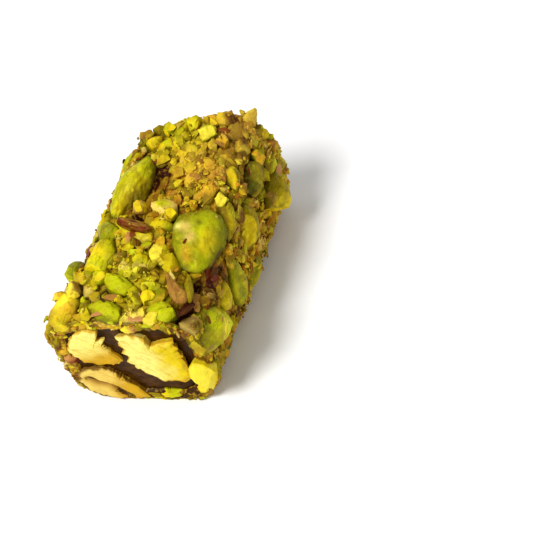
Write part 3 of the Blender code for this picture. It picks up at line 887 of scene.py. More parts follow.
@dataclass(frozen=True)
class PasteFinish:
    """The sticky ground nut between the bits: mottled gold, with dark red spots."""

    name: str = "sticky_paste"
    relief: float = 0.25

    def make(self) -> Material:
        """Builds the material.

        Returns:
            The material.
        """
        bench = Bench(self.name)
        grit, lumps = bench.noise(0.28, 4.0), bench.noise(0.9, 3.0)
        mottled = bench.shaded(bench.attribute("tint", "Color"), 0.75 + grit * 0.5)
        speckled = bench.mix(((lumps - 0.52) * 7.0).limited() * 0.55, mottled, Tint.GOLD)
        sockets = {
            "Base Color": bench.mix(bench.spots(0.6, 3.0, 0.6, 8.0) * 0.7, speckled, Tint.RED),
            "Roughness": (0.3 + grit * 0.45).limited(),
            "Coat Weight": 0.02,
            "Specular IOR Level": 0.06,
        }
        return bench.finish(sockets, grit * 0.5 + lumps * 0.5, self.relief, 0.9)


@dataclass(frozen=True)
class JellyFinish:
    """Brown jelly, dark and a little sticky, lighter where it thins out, drawn by the knife."""

    name: str = "brown_jelly_cut"
    relief: float = 0.3

    def make(self) -> Material:
        """Builds the material.

        Returns:
            The material.
        """
        bench = Bench(self.name)
        cloud, drag = bench.noise(2.4, 3.0), bench.noise(1.1, 3.0, (0.6, 1.0, 1.4))
        stops = [(0.28, Tint.UMBER), (0.5, Tint.JELLY), (0.8, Tint.BROWN)]
        mixed = cloud * 0.6 + drag * 0.4
        sockets = {
            "Base Color": bench.node("ShaderNodeValToRGB", {"stops": stops}, {"Fac": mixed}, "Color"),
            "Roughness": (0.12 + drag * 0.4).limited(),
            "Coat Weight": 0.03,
            "Coat Roughness": 0.12,
            "Specular IOR Level": 0.06,
        }
        return bench.finish(sockets, drag * 0.7 + cloud * 0.3, self.relief, 0.5)


@dataclass(frozen=True)
class CutFinish:
    """Laid-open kernel: pale flesh with fine saw lines and small pores."""

    name: str = "laid_open_flesh"
    relief: float = 0.14

    def make(self) -> Material:
        """Builds the material.

        Returns:
            The material.
        """
        bench = Bench(self.name)
        lines, cloud = bench.noise(0.3, 2.0, (0.35, 1.0, 1.3)), bench.noise(1.4, 3.0)
        toned_flesh = bench.shaded(bench.attribute("tint", "Color"), 0.8 + lines * 0.22 + cloud * 0.2)
        sockets = {
            "Base Color": bench.mix(bench.spots(0.4, 3.0, 0.66, 10.0) * 0.35, toned_flesh, Tint.TAN),
            "Roughness": (0.4 + lines * 0.3).limited(),
            "Coat Weight": 0.02,
            "Specular IOR Level": 0.05,
        }
        return bench.finish(sockets, lines, self.relief, 0.7)


@dataclass(frozen=True)
class FlakeFinish:
    """Papery kernel skin, red or tan, thin and veined."""

    name: str = "papery_skin"
    relief: float = 0.12

    def make(self) -> Material:
        """Builds the material.

        Returns:
            The material.
        """
        bench = Bench(self.name)
        veins = bench.noise(0.35, 4.0, (1.0, 0.4, 1.0))
        sockets = {
            "Base Color": bench.shaded(bench.attribute("tint", "Color"), 0.6 + veins * 0.8),
            "Roughness": (0.22 + veins * 0.35).limited(),
            "Coat Weight": 0.02,
            "Specular IOR Level": 0.05,
        }
        return bench.finish(sockets, veins, self.relief, 0.8)


@dataclass
class Surface:
    """A mesh in the making: points in millimetres, triangles, and each point's colour and skin share."""

    points: Array
    triangles: Array
    tint: Array
    skin: Array

    @classmethod
    def of_copies(cls, points: Array, triangles: Array, tint: Array, skin: Array) -> "Surface":
        """Joins N copies that share one set of triangles.

        Args:
            points: N by V places.
            triangles: the triangles of one copy.
            tint: N by V colours.
            skin: N by V skin shares.

        Returns:
            One surface of all copies.
        """
        count, size = points.shape[:2]
        shifts = np.arange(count)[:, None, None] * size
        joined = (triangles[None] + shifts).reshape(-1, 3)
        return cls(points.reshape(-1, 3), joined, tint.reshape(-1, 3), skin.reshape(-1))

    @classmethod
    def of_rings(cls, points: Array, tint: Array, skin: Array) -> "Surface":
        """Closes rings, one row each, with a fan about the middle of the first ring and of the last.

        Args:
            points: the rings' places.
            tint: their colours.
            skin: their skin shares.

        Returns:
            One closed surface that faces outwards.
        """
        rows, columns = points.shape[:2]
        column = np.arange(columns)
        following = (column + 1) % columns
        count, last = rows * columns, (rows - 1) * columns
        near = np.stack([np.full(columns, count), following, column], -1)
        far = np.stack([np.full(columns, count + 1), last + column, last + following], -1)
        middles = points[[0, -1]].mean(axis=1)
        joined = np.concatenate([points.reshape(-1, 3), middles])
        triangles = np.concatenate([grid_triangles(rows, columns), near, far])
        return cls(
            joined,
            outwards(joined - middles.mean(axis=0), triangles),
            np.concatenate([tint.reshape(-1, 3), tint[[0, -1]].mean(axis=1)]),
            np.concatenate([skin.reshape(-1), skin[[0, -1]].mean(axis=1)]),
        )

    def show_on_coat(self, name: str, material: Material, sharp: float = 180.0) -> None:
        """Makes the mesh as a part of the chopped coat."""
        self.show(name, "chopped_coat", Slot.COAT, material, sharp)

    def show(
        self, name: str, node: str, slot: Slot, material: Material, sharp: float = 180.0
    ) -> None:
        """Makes the mesh, hangs it under the root body and hides the solid that it stands for.

        Args:
            name: the piece's name.
            node: the solid that it stands for.
            slot: the record's material slot; not used.
            material: its finish.
            sharp: edges that turn by more than this many degrees stay crisp.
        """
        mesh = bpy.data.meshes.new(name)
        mesh.vertices.add(len(self.points))
        mesh.vertices.foreach_set("co", (self.points * MM).astype(np.float32).ravel())
        mesh.loops.add(self.triangles.size)
        mesh.loops.foreach_set("vertex_index", self.triangles.astype(np.int32).ravel())
        mesh.polygons.add(len(self.triangles))
        mesh.polygons.foreach_set("loop_start", np.arange(0, self.triangles.size, 3, dtype=np.int32))
        mesh.update(calc_edges=True)
        colours = np.concatenate([np.clip(self.tint, 0.0, 1.0), np.ones((len(self.points), 1))], axis=1)
        tint = mesh.attributes.new("tint", "FLOAT_COLOR", "POINT")
        tint.data.foreach_set("color", colours.astype(np.float32).ravel())
        skin = mesh.attributes.new("skin", "FLOAT", "POINT")
        skin.data.foreach_set("value", np.clip(self.skin, 0.0, 1.0).astype(np.float32))
        mesh.shade_smooth()
        mesh.set_sharp_from_angle(angle=math.radians(sharp))
        mesh.materials.append(material)
        piece = put_in_scene(name, mesh)
        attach(piece, "root")
        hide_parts(node)
        log_book.info("%s: %d triangles, for %s", name, len(self.triangles), node)


def seat_nuts(log: Log, nuts: Sequence[Nut], reach_out: Array) -> tuple[Array, Array, Array, Array]:
    """Places nuts on the log. A middle lies under the skin by its outward reach less its proud part.

    Args:
        log: what they sit on.
        nuts: the nuts.
        reach_out: how far each reaches outwards from its middle.

    Returns:
        Middles, matrices of the nuts' axes, the seats' points and the seats' axes.
    """
    points, seat_axes = log.seats(each(nuts, "around"), each(nuts, "along"))
    middles = points - (reach_out - each(nuts, "proud"))[:, None] * seat_axes[..., 2]
    axes = turned_axes(seat_axes, np.radians(each(nuts, "turn")), np.radians(each(nuts, "tilt")))
    return middles, axes, points, seat_axes


@dataclass
class Heights:
    """How far the coat reaches out of the log's skin, on a grid over the way round and the way along."""

    log: Log
    cell: float = 0.3
    low: float = -26.0
    high: float = 31.0
    nut_height: float = 0.2
    sunk: float = 0.05
    reach: Array = field(init=False)
    nut: Array = field(init=False)

    def __post_init__(self) -> None:
        """Starts with nothing on the skin."""
        self.degrees, self.way = self.log.arcs()
        self.round = self.way[-1]
        self.columns = int(self.round / self.cell)
        self.rows = int((self.high - self.low) / self.cell)
        self.reach = np.full((self.columns, self.rows), -2.0)
        self.nut = np.zeros((self.columns, self.rows), dtype=bool)

    def degrees_at(self, way: Array) -> Array:
        """Degrees round the log for a way walked round it."""
        return np.interp(way % self.round, self.way, self.degrees)

    def way_at(self, degrees: Array) -> Array:
        """The way walked round the log for degrees."""
        return np.interp((np.asarray(degrees) + 90.0) % 360.0 - 90.0, self.degrees, self.way)

    def way_from(self, degrees: float, way: Array) -> Array:
        """How far ways lie from a place round the log, by the shorter way."""
        return (way - self.way_at(degrees) + self.round / 2) % self.round - self.round / 2

    def cells(self, way: Array, along: Array) -> tuple[Array, Array]:
        """Grid cells of places."""
        column = np.floor((way % self.round) / self.cell).astype(int) % self.columns
        return column, np.clip(((along - self.low) / self.cell).astype(int), 0, self.rows - 1)

    def lay(
        self, points: Array, seats: Array, axes: Array, ways: Array, alongs: Array, nut: bool
    ) -> tuple[Array, Array, Array]:
        """Raises the grid to copies that lie on it.

        Args:
            points: N by V places of the copies' points.
            seats: the N seats.
            axes: the seats' axes.
            ways: the seats' ways round.
            alongs: the seats' ways along.
            nut: whether these are kernels or large bits.

        Returns:
            Each point's way round, way along and height over the skin.
        """
        apart = np.einsum("nvk,nka->nva", points - seats[:, None], axes)
        way, along, height = ways[:, None] - apart[..., 0], alongs[:, None] + apart[..., 1], apart[..., 2]
        column, row = self.cells(way, along)
        high = nut & (height > self.nut_height)
        for shift, lean in product((-1, 0, 1), repeat=2):
            columns, rows = (column + shift) % self.columns, np.clip(row + lean, 0, self.rows - 1)
            np.maximum.at(self.reach, (columns, rows), height - self.sunk)
            self.nut[columns[high], rows[high]] = True
        return way, along, height

    def at(self, way: Array, along: Array) -> Array:
        """The coat's reach at places."""
        return self.reach[self.cells(way, along)]

    def on_nut(self, way: Array, along: Array) -> Array:
        """Whether places lie on a kernel or a large bit."""
        return self.nut[self.cells(way, along)]


@dataclass(frozen=True)
class Patch:
    """A part of the surface where one tint rules: its middle, its radius in millimetres, and how much."""

    around: float
    along: float
    radius: float
    tint: Tint
    share: float


NUT_PATCHES = tuple(Patch(*row) for row in (
    (61, 1.6, 1.5, Tint.GREEN, 0.7), (50.5, 0.9, 1.3, Tint.LIME, 0.6), (59, -1.5, 1.2, Tint.LIME, 0.85),
    (45.8, -2.2, 1.5, Tint.YELLOW, 0.75), (49, -4.4, 1.3, Tint.YELLOW, 0.7),
    (68, -5.7, 1.2, Tint.GOLD, 0.85), (63, -7.1, 0.7, Tint.ORANGE, 0.7), (55.5, -8.3, 1.0, Tint.LIME, 0.8),
    (53, -6.3, 1.1, Tint.GREEN, 0.6), (79.5, -3.6, 1.1, Tint.GREEN, 0.8),
    (75.8, -5.6, 1.0, Tint.GREEN, 0.7), (77.6, 1.4, 0.9, Tint.OLIVE, 0.8),
    (75.8, -1.0, 1.0, Tint.BEIGE, 0.95), (68.6, -3.0, 0.9, Tint.BEIGE, 0.95),
    (81.2, -1.2, 0.6, Tint.CREAM, 0.8), (63.7, 0.1, 0.6, Tint.DEEP_GREEN, 0.8),
    (34, -0.8, 1.7, Tint.DEEP_GREEN, 0.75), (32, -3.7, 1.5, Tint.DEEP_GREEN, 0.75),
    (9, -20.8, 2.0, Tint.BROWN, 0.6), (108, 9.5, 1.8, Tint.YELLOW, 0.4), (104, 5.0, 1.4, Tint.PALE, 0.6),
    (100, 3.0, 1.4, Tint.TAN, 0.6), (112, 13.0, 2.0, Tint.GREEN, 0.6), (110, 6.0, 4.5, Tint.GREEN, 0.35),
    (110, -9.0, 2.0, Tint.YELLOW, 0.7), (104, -12.4, 1.6, Tint.LIME, 0.5),
    (122, -8.0, 1.6, Tint.ORANGE, 0.5), (0, -12.6, 4.4, Tint.LIME, 0.9), (4, -14.0, 1.5, Tint.YELLOW, 0.9),
    (14, -18.6, 1.8, Tint.DEEP_GREEN, 0.7), (-12, -9.0, 1.8, Tint.GREEN, 0.6),
    (-2, 9.0, 1.2, Tint.ORANGE, 0.4), (-8, 21.0, 3.2, Tint.YELLOW, 0.6), (-2, 24, 1.3, Tint.PINK, 0.9),
    (-8, 26, 1.6, Tint.GOLD, 0.7), (127, -19.6, 2.4, Tint.PALE, 0.8), (118, -20.6, 1.4, Tint.ORANGE, 0.75),
    (142, -22.4, 1.8, Tint.BROWN, 0.7), (2, -0.4, 2.2, Tint.LIME, 0.4),
))


PATCHES = tuple(Patch(*row) for row in (
    (8, -21, 2.6, Tint.DEEP_GREEN, 0.85), (118, 19, 3.0, Tint.BROWN, 0.5), (48, 20, 4.0, Tint.OLIVE, 0.5),
    (90, 15.5, 4.5, Tint.YELLOW, 0.45), (90, 20, 4.6, Tint.LIME, 0.5), (0, 6, 16, Tint.ORANGE, 0.25),
    (90, -16, 7, Tint.LIME, 0.5), (108, -2, 7, Tint.LIME, 0.25), (80, 13, 6.5, Tint.TAN, 0.4),
    (62, 23, 5.5, Tint.TAN, 0.55), (86, 9, 4, Tint.GOLD, 0.3), (33, -9.5, 4.5, Tint.BROWN, 0.6),
    (21, -6.5, 3.2, Tint.RED, 0.65), (42, -18, 3.0, Tint.DARK_RED, 0.8),
    (8, 17.5, 4.2, Tint.DEEP_GREEN, 0.55), (-20, -16, 6, Tint.BROWN, 0.4), (92, -21.4, 1.8, Tint.PINK, 0.6),
    (86, -21.4, 2.2, Tint.BEIGE, 0.7), (76, -21.2, 1.8, Tint.TAN, 0.6), (200, 0, 6, Tint.BROWN, 0.3),
    (180, -18, 6, Tint.ORANGE, 0.25), (230, 16, 7, Tint.LIME, 0.3),
))


def toned(heights: Heights, patches: Sequence[Patch], tint: Array, way: Array, along: Array) -> Array:
    """Tints drawn towards those of the patches, each by its share times e^-(distance over radius)^2.

    A patch is as light as the tints it changes are, so that small lights and darks stay.

    Args:
        heights: knows the way round the log.
        patches: the patches.
        tint: colours.
        way: each colour's way round the log.
        along: each colour's way along it.

    Returns:
        The toned colours.
    """
    for patch in patches:
        distance = heights.way_from(patch.around, way) ** 2 + (along - patch.along) ** 2
        share = patch.share * np.exp(-distance / patch.radius**2)
        light = 0.35 + 0.65 * tint.mean(axis=-1, keepdims=True) / linear(Tint.OLIVE).mean()
        tint = blend(tint, linear(patch.tint) * np.clip(light, 0.4, 1.5), share)
    return tint


def painted_depth_shade(tint: Array, height: Array, low: float, high: float, share: float) -> Array:
    """Painted shade: tints darkened to brown where they lie deep in the coat, fully under low, not at all
    over high.
    """
    return blend(tint, linear(Tint.BROWN) * 0.4, share * (1.0 - smooth_step(low, high, height)))


@dataclass
class Kernels:
    """The whole and broken kernels that stick in the coat."""

    log: Log
    heights: Heights
    finish: Material
    columns: int = 76
    rows: int = 48
    edge: float = 18.0
    flats: int = 7
    wrinkle: float = 0.2
    swell: float = 0.4
    crumple: float = 0.2
    break_relief: float = 0.5
    proud_of_cut: float = 0.5

    def surface(self, nuts: Sequence[Nut], columns: int, rows: int, seed: int, nearest: float) -> Surface:
        """Works nuts out: an egg cut by its facets, wrinkled lengthwise on its skin and torn on its facets.

        Args:
            nuts: the nuts, all with the same fineness.
            columns: points round each nut.
            rows: steps from tip to tip.
            seed: of the relief.
            nearest: the least distance of the flats, which are worn places all round, as a share.

        Returns:
            The joined surface.
        """
        directions, triangles = ball(columns, rows)
        planes, distances = self.facet_planes(nuts)
        half = half_sizes(nuts)
        rng = np.random.default_rng(seed)
        flats = unit(rng.normal(size=(len(nuts), self.flats, 3)) * [1.0, 0.9, 0.6] + [0.0, 0.0, 0.45])
        nearness = rng.uniform(nearest, 0.98, (len(nuts), self.flats))
        skin = 1.0 + cut_sum(directions, flats, nearness, self.edge)
        reach, share = cut_reach(directions, planes, distances, self.edge, skin)
        local = directions * reach[..., None]
        local[..., [0, 2]] *= 1.0 + each(nuts, "taper")[:, None, None] * local[..., 1:2]
        local = local * half[:, None]
        grain = Relief(seed, spread_out(local, 40.0))
        torn = grain.layers(0, 2.2) + 0.45 * grain.at(3, 0.55)
        ridges = grain.at(5, (1.3, 7.0, 1.3)) + 0.6 * grain.at(4, (0.5, 2.6, 0.5))
        swell = grain.layers(6, 3.6)
        flesh = 1.0 - smooth_step(0.25, 0.75, share + 0.18 * grain.at(9, 1.1))
        relief = self.wrinkle * ridges + self.swell * swell + self.crumple * grain.layers(8, 1.2)
        relief = relief * (1.0 - flesh) + self.break_relief * torn * flesh
        local = local + directions * relief[..., None]
        upwards, _ = cut_reach(np.array([[0.0, 0.0, 1.0]]), planes, distances, self.edge)
        middles, axes, seats, seat_axes = seat_nuts(self.log, nuts, upwards[:, 0] * half[:, 2])
        points, pressed = self.log.trim(set_down(middles, axes, local), middles, self.proud_of_cut)
        flesh = np.maximum(flesh, pressed)
        ways = self.heights.way_at(each(nuts, "around"))
        way, along, height = self.heights.lay(points, seats, seat_axes, ways, each(nuts, "along"), nut=True)
        bent = directions + 0.1 * np.stack([grain.at(21 + axis, 2.0) for axis in range(3)], -1)
        cosines = np.einsum("nvk,npk->nvp", bent, flats) / nearness[:, None, :]
        panel = np.take_along_axis(rng.uniform(-0.3, 0.5, nearness.shape), cosines.argmax(axis=-1), axis=1)
        tint = self.skin_tint(nuts, directions, grain, cosines, 0.3 * ridges + panel)
        cut = linears([n.flesh for n in nuts])[:, None] * (1.0 + 0.18 * torn)[..., None]
        tint = blend(tint * (1.0 + 0.26 * grain.layers(15, 1.6))[..., None], cut, flesh)
        tint = toned(self.heights, NUT_PATCHES, tint, way, along)
        # Painted shade: kernels darken to brown where they sink into the coat.
        tint = painted_depth_shade(tint, height + 0.3 * swell + 9.0 * pressed, low=-0.2, high=0.9, share=0.7)
        return Surface.of_copies(points, triangles, tint, 1.0 - flesh)

    @staticmethod
    def facet_planes(nuts: Sequence[Nut]) -> tuple[Array, Array]:
        """The planes that cut each nut, as unit normals and distances. Spare ones lie far outside.

        Args:
            nuts: the nuts.

        Returns:
            Normals and distances, N by K rows.
        """
        most = max(1, max(len(nut.facets) for nut in nuts))
        planes = np.tile([0.0, 0.0, 1.0], (len(nuts), most, 1))
        distances = np.full((len(nuts), most), 50.0)
        for place, nut in enumerate(nuts):
            for number, (*facing, distance) in enumerate(nut.facets):
                planes[place, number] = unit(np.array(facing))
                distances[place, number] = distance
        return planes, distances

    @staticmethod
    def skin_tint(
        nuts: Sequence[Nut], directions: Array, grain: Relief, cosines: Array, fresh: Array
    ) -> Array:
        """Colours of unbroken skin: paler in panels and in a painted highlight along the middle, dark on ribs
        and in painted shade low down, with stains.

        Args:
            nuts: the nuts.
            directions: the directions of a nut's points.
            grain: relief at the points.
            cosines: how near each point lies to each flat. A rib runs where two flats are about as near.
            fresh: how much paler the ridges and panels are.

        Returns:
            N by V colours.
        """
        skins, fleshes = (linears([getattr(n, name) for n in nuts])[:, None] for name in ("skin", "flesh"))
        ranked = np.sort(cosines, axis=-1)
        rib = smooth_step(0.12, 0.0, ranked[..., -1] - ranked[..., -2])
        # Painted highlight: the skin is paler along the middle of the nut.
        painted_middle_highlight = smooth_step(0.5, 0.0, np.abs(directions[:, 0])) * (0.5 + 0.5 * grain.layers(11, 3.0))
        # Painted shade: the skin is darker low down, on the sides that turn into the coat.
        low = smooth_step(0.62, 0.2, directions[:, 2]) * (0.7 + 0.3 * grain.at(10, 1.2))
        tint = blend(skins, fleshes, np.clip(0.5 * painted_middle_highlight + fresh, 0.0, 1.0))
        tint = blend(tint, skins * 0.6, 0.55 * rib)
        tint = blend(tint, skins * 0.5, 0.6 * low)
        tint = blend(tint, Tint.PINK, 0.55 * smooth_step(0.42, 0.7, grain.layers(12, 2.4)))
        return blend(tint, Tint.BROWN, 0.5 * smooth_step(0.4, 0.75, grain.layers(13, 1.9)))

    def build(self) -> None:
        """Makes one piece for each kernel."""
        for number, nut in enumerate(KERNELS):
            surface = self.surface([nut], self.columns, self.rows, 100 + 17 * number, nearest=0.8)
            surface.show(f"dressed_{nut.name}", nut.name, Slot.KERNEL, self.finish, sharp=50.0)


@dataclass
class CutKernels:
    """The kernels that the two cuts lay open: a scored, jagged face with a thin skin round it."""

    log: Log
    finish: Material
    columns: int = 180
    face_rings: int = 34
    wall_rings: int = 8
    rounding: float = 0.4
    jag: float = 0.35
    score: float = 0.3
    wall_depth: float = 3.2
    split_width: float = 0.65
    split_depth: float = 1.3
    off_ground: float = 0.05

    def build(self) -> None:
        """Makes one piece for each laid-open kernel, and one for each smaller bit beside them."""
        for number, nut in enumerate(NEAR_END_NUTS + FAR_END_NUTS):
            surface = self.surface(nut, nut in FAR_END_NUTS, 300 + 13 * number)
            surface.show(f"dressed_{nut.name}", nut.name, Slot.CUT, self.finish, sharp=55.0)
        for number, nut in enumerate(NEAR_END_BITS):
            surface = self.surface(nut, False, 500 + 13 * number)
            surface.show_on_coat(f"coat_{nut.name}", self.finish, sharp=55.0)

    @staticmethod
    def rim(corners: Array, around: Array) -> Array:
        """How far an outline reaches in each direction from its middle.

        Where a ray d meets the side from A to B, its length is A x (B - A) over d x (B - A).

        Args:
            corners: the outline's corners about its middle.
            around: the rays' directions, in radians.

        Returns:
            The rays' lengths.
        """
        side = np.roll(corners, -1, axis=0) - corners
        ray = np.stack([np.cos(around), np.sin(around)], -1)
        across = ray[:, None, 0] * side[None, :, 1] - ray[:, None, 1] * side[None, :, 0]
        across = np.where(np.abs(across) < 1e-9, 1e-9, across)
        length = (corners[:, 0] * side[:, 1] - corners[:, 1] * side[:, 0]) / across
        place = (corners[:, 0] * ray[:, None, 1] - corners[:, 1] * ray[:, None, 0]) / across
        return np.where((length > 0) & (place >= 0) & (place <= 1), length, 99.0).min(axis=1)

    def surface(self, nut: EndNut, far: bool, seed: int) -> Surface:
        """Works a laid-open kernel out as rings: its face from the middle to the rim, then its wall inwards.

        The rim is the kernel's outline, made jagged by relief. The face is scored along the kernel, falls off
        a little at the rim, and a split runs along it where the two halves part.

        Args:
            nut: the kernel.
            far: whether it lies in the far cut.
            seed: of its relief.

        Returns:
            The surface.
        """
        point, facing = self.log.cut_plane(far)
        slope = facing / facing[1]
        around = np.arange(self.columns) * 2 * math.pi / self.columns
        spot = np.stack([np.cos(around) * 4.0, np.sin(around) * 4.0, np.full_like(around, seed)], -1)
        grain = Relief(seed, spot)
        reach = self.rim(np.array(nut.outline) - [nut.right, nut.up], around)
        reach = reach + nut.scored * self.jag * (grain.at(0, 0.55) + 0.5 * grain.at(1, 0.22))
        grow = np.linspace(0.02, 1.0, self.face_rings)
        ring = np.concatenate([grow, np.linspace(1.0, 0.8, self.wall_rings)])[:, None]
        sink = np.concatenate([0.0 * grow, np.linspace(0.0, self.wall_depth, self.wall_rings)])[:, None]
        right, up = ring * reach * np.cos(around), ring * reach * np.sin(around)
        turn, aim = math.radians(nut.turn), math.radians(nut.toward)
        along = right * math.cos(turn) + up * math.sin(turn)
        beside = up * math.cos(turn) - right * math.sin(turn)
        on_face = (np.arange(len(ring)) < self.face_rings)[:, None]
        grain = Relief(seed, np.stack(np.broadcast_arrays(along, beside, sink), -1))
        lines = grain.at(2, (2.8, 0.34, 50.0)) + 0.5 * grain.at(3, (1.6, 0.17, 50.0))
        steps = grain.layers(4, 2.6)
        fall = (self.rounding + 1.4 * (0.84 - nut.round_from)) * smooth_step(nut.round_from, 1.0, ring)
        height = nut.proud - sink - fall + on_face * self.score * (0.55 * nut.scored * lines + steps)
        split = np.zeros_like(right)
        if nut.split:
            lengthwise = Relief(seed, grain.points * [1.0, 0.0, 0.0])
            wander = 0.8 * lengthwise.at(5, 2.5) + nut.split_at
            ends = smooth_step(1.0, 0.75, np.abs(along) / nut.length * 2)
            split = np.exp(-(((beside - wander) / self.split_width) ** 2)) * ends * on_face
            height = height - self.split_depth * split
        x, z = nut.right + right, nut.up + up
        y = point[1] - slope[0] * (x - point[0]) - slope[2] * (z - point[2])
        points = np.stack([x, y, z], -1) + height[..., None] * facing
        points[..., 2] = np.maximum(points[..., 2], self.off_ground)
        toward = (right * math.cos(aim) + up * math.sin(aim)) / nut.length * 2 + 0.35 * grain.layers(6, 2.4)
        tint = blend(nut.flesh, nut.flesh_far, smooth_step(-0.25, 0.6, toward))
        tint = blend(tint, Tint.GOLD, 0.5 * smooth_step(0.1, 0.8, -nut.scored * lines * 0.7 - steps * 0.5))
        edge = smooth_step(0.9, 0.99, ring + 0.07 * grain.at(7, 0.9))
        tint = blend(tint, nut.rim, edge * 0.9)
        tint = blend(tint, Tint.ORANGE, 0.8 * np.sqrt(split))
        return Surface.of_rings(points, blend(tint, Tint.BROWN, 0.9 * split), edge)


@dataclass
class Jelly:
    """The jelly core, whose two faces show behind the laid-open kernels."""

    log: Log
    finish: Material
    inset: float = 2.3
    back: float = 0.6
    columns: int = 300
    cap_rings: int = 56
    wall_rings: int = 40
    relief: float = 0.3

    def build(self) -> None:
        """Works the core out as rings: the near face from its middle, the wall, the far face to its middle.

        Each face is the log's outline shrunk towards its middle, drawn back from the cut, and dragged by the
        knife into low ridges.
        """
        around = np.arange(self.columns) * 2 * math.pi / self.columns
        grow = np.linspace(0.02, 1.0, self.cap_rings)
        steps = np.linspace(0.0, 1.0, self.wall_rings)[1:-1]
        scale = np.concatenate([grow, np.ones(len(steps)), grow[::-1]])[:, None]
        share = np.concatenate([np.zeros(len(grow)), steps, np.ones(len(grow))])[:, None]
        rim = self.log.points(around[None], share, self.inset)
        middle_y = self.log.near_cut + (self.log.far_cut - self.log.near_cut) * share
        middle_z = self.log.lift + self.log.half_size(share)[1]
        middle = np.stack(np.broadcast_arrays(0.0 * share, middle_y, middle_z), axis=-1)
        points = middle + scale[..., None] * (rim - middle)
        inward = np.where(share < 0.5, 1.0, -1.0)
        dragged = 0.6 * Grain(51).at(points, (3.5, 60.0, 1.2)) + Grain(52).layers(points, 3.0)
        on_face = (share <= 0.0) | (share >= 1.0)
        points[..., 1] += np.where(on_face, self.back * inward + self.relief * dragged, 0.0)
        tint = np.broadcast_to(linear(Tint.JELLY), points.shape)
        surface = Surface.of_rings(points, tint, np.zeros(points.shape[:-1]))
        surface.show("jelly_core", "jelly", Slot.JELLY, self.finish)


@dataclass(frozen=True)
class Gap:
    """A pit where the coat has parted: its seat, its size along and across its turn, and its depth."""

    around: float
    along: float
    turn: float
    length: float
    width: float
    depth: float


GAPS = tuple(Gap(*row) for row in (
    (94, 8.6, 0, 7.4, 3.2, 3.2), (96, 4.4, -8, 7.4, 3.6, 3.4), (81.5, -8.2, 10, 3.6, 1.3, 1.3),
    (86.5, 1.0, 0, 5.4, 1.1, 1.1), (43, -17, 15, 6.0, 1.7, 1.4), (41, -11.5, 5, 4.4, 1.6, 1.2),
    (12, 9.5, 150, 4.2, 1.5, 1.3), (7, 17.5, 30, 5.0, 2.0, 1.4), (95, -15.2, 60, 3.4, 1.3, 1.1),
    (140, -7.5, 0, 5.0, 1.6, 1.4), (22, -6.0, 30, 5.0, 1.8, 1.0), (200, 6.0, 20, 6.0, 1.8, 1.3),
    (172, -4.5, 110, 5.0, 1.7, 1.3), (240, -2.0, 60, 5.0, 1.7, 1.1),
))


@dataclass(frozen=True)
class Flake:
    """A flake of kernel skin whose place is listed."""

    around: float
    along: float
    turn: float
    length: float
    width: float
    tint: Tint


FLAKES = tuple(Flake(*row) for row in (
    (94, -2.4, 98, 6.4, 1.8, Tint.DARK_RED), (26, -7.5, 119, 4.6, 2.8, Tint.RED),
    (98, 13.0, 80, 3.4, 1.4, Tint.RED), (72, 22.0, 90, 3.2, 1.6, Tint.RED),
    (94, -21.0, 60, 3.0, 1.8, Tint.PINK), (84, -21.4, 100, 4.6, 2.0, Tint.PINK),
    (131, -7.4, 170, 4.4, 2.0, Tint.RED), (48, -16.4, 30, 5.0, 2.0, Tint.DARK_RED),
    (42, -12.0, 10, 4.4, 1.8, Tint.RED), (92, -17.2, 80, 3.6, 1.6, Tint.TAN),
    (0, 23.6, 110, 4.2, 2.6, Tint.PINK), (80, 10.0, 100, 3.4, 1.6, Tint.TAN),
    (20, -6.8, 60, 4.2, 2.4, Tint.RED), (30, -9.6, 130, 4.0, 2.0, Tint.DARK_RED),
    (38, -13.6, 160, 4.6, 1.8, Tint.TAN),
))


@dataclass(frozen=True)
class Strewing:
    """A kind of loose bit: how many, half sizes, flatness, how evenly, how many on kernels, and its lean."""

    name: str
    count: int
    half: tuple
    flat: float
    fine: bool
    even: float
    on_nuts: float
    lean: float
    seed: int


GRANULE_TINTS = (
    Tint.PASTE, Tint.OLIVE, Tint.GOLD, Tint.TAN, Tint.YELLOW, Tint.LIME, Tint.BROWN, Tint.ORANGE,
)
SKIN_TINTS = {
    Tint.LIME: 0.22, Tint.GREEN: 0.18, Tint.OLIVE: 0.16, Tint.DEEP_GREEN: 0.07, Tint.BROWN: 0.13,
    Tint.RED: 0.07, Tint.TAN: 0.17,
}
FLESH_TINTS = {
    Tint.YELLOW: 0.25, Tint.PALE: 0.14, Tint.LIME: 0.1, Tint.GOLD: 0.2, Tint.OLIVE: 0.08,
    Tint.ORANGE: 0.14, Tint.BEIGE: 0.09,
}
FLAKE_TINTS = {Tint.RED: 0.3, Tint.DARK_RED: 0.1, Tint.BROWN: 0.3, Tint.TAN: 0.25, Tint.PINK: 0.05}
CHIPS = Strewing("coat_chips", 950, (0.4, 1.15), 0.5, True, 0.1, 0.004, 40.0, 6)
CRUMBS = Strewing("coat_crumbs", 2300, (0.13, 0.42), 0.8, False, 0.1, 0.01, 60.0, 4)


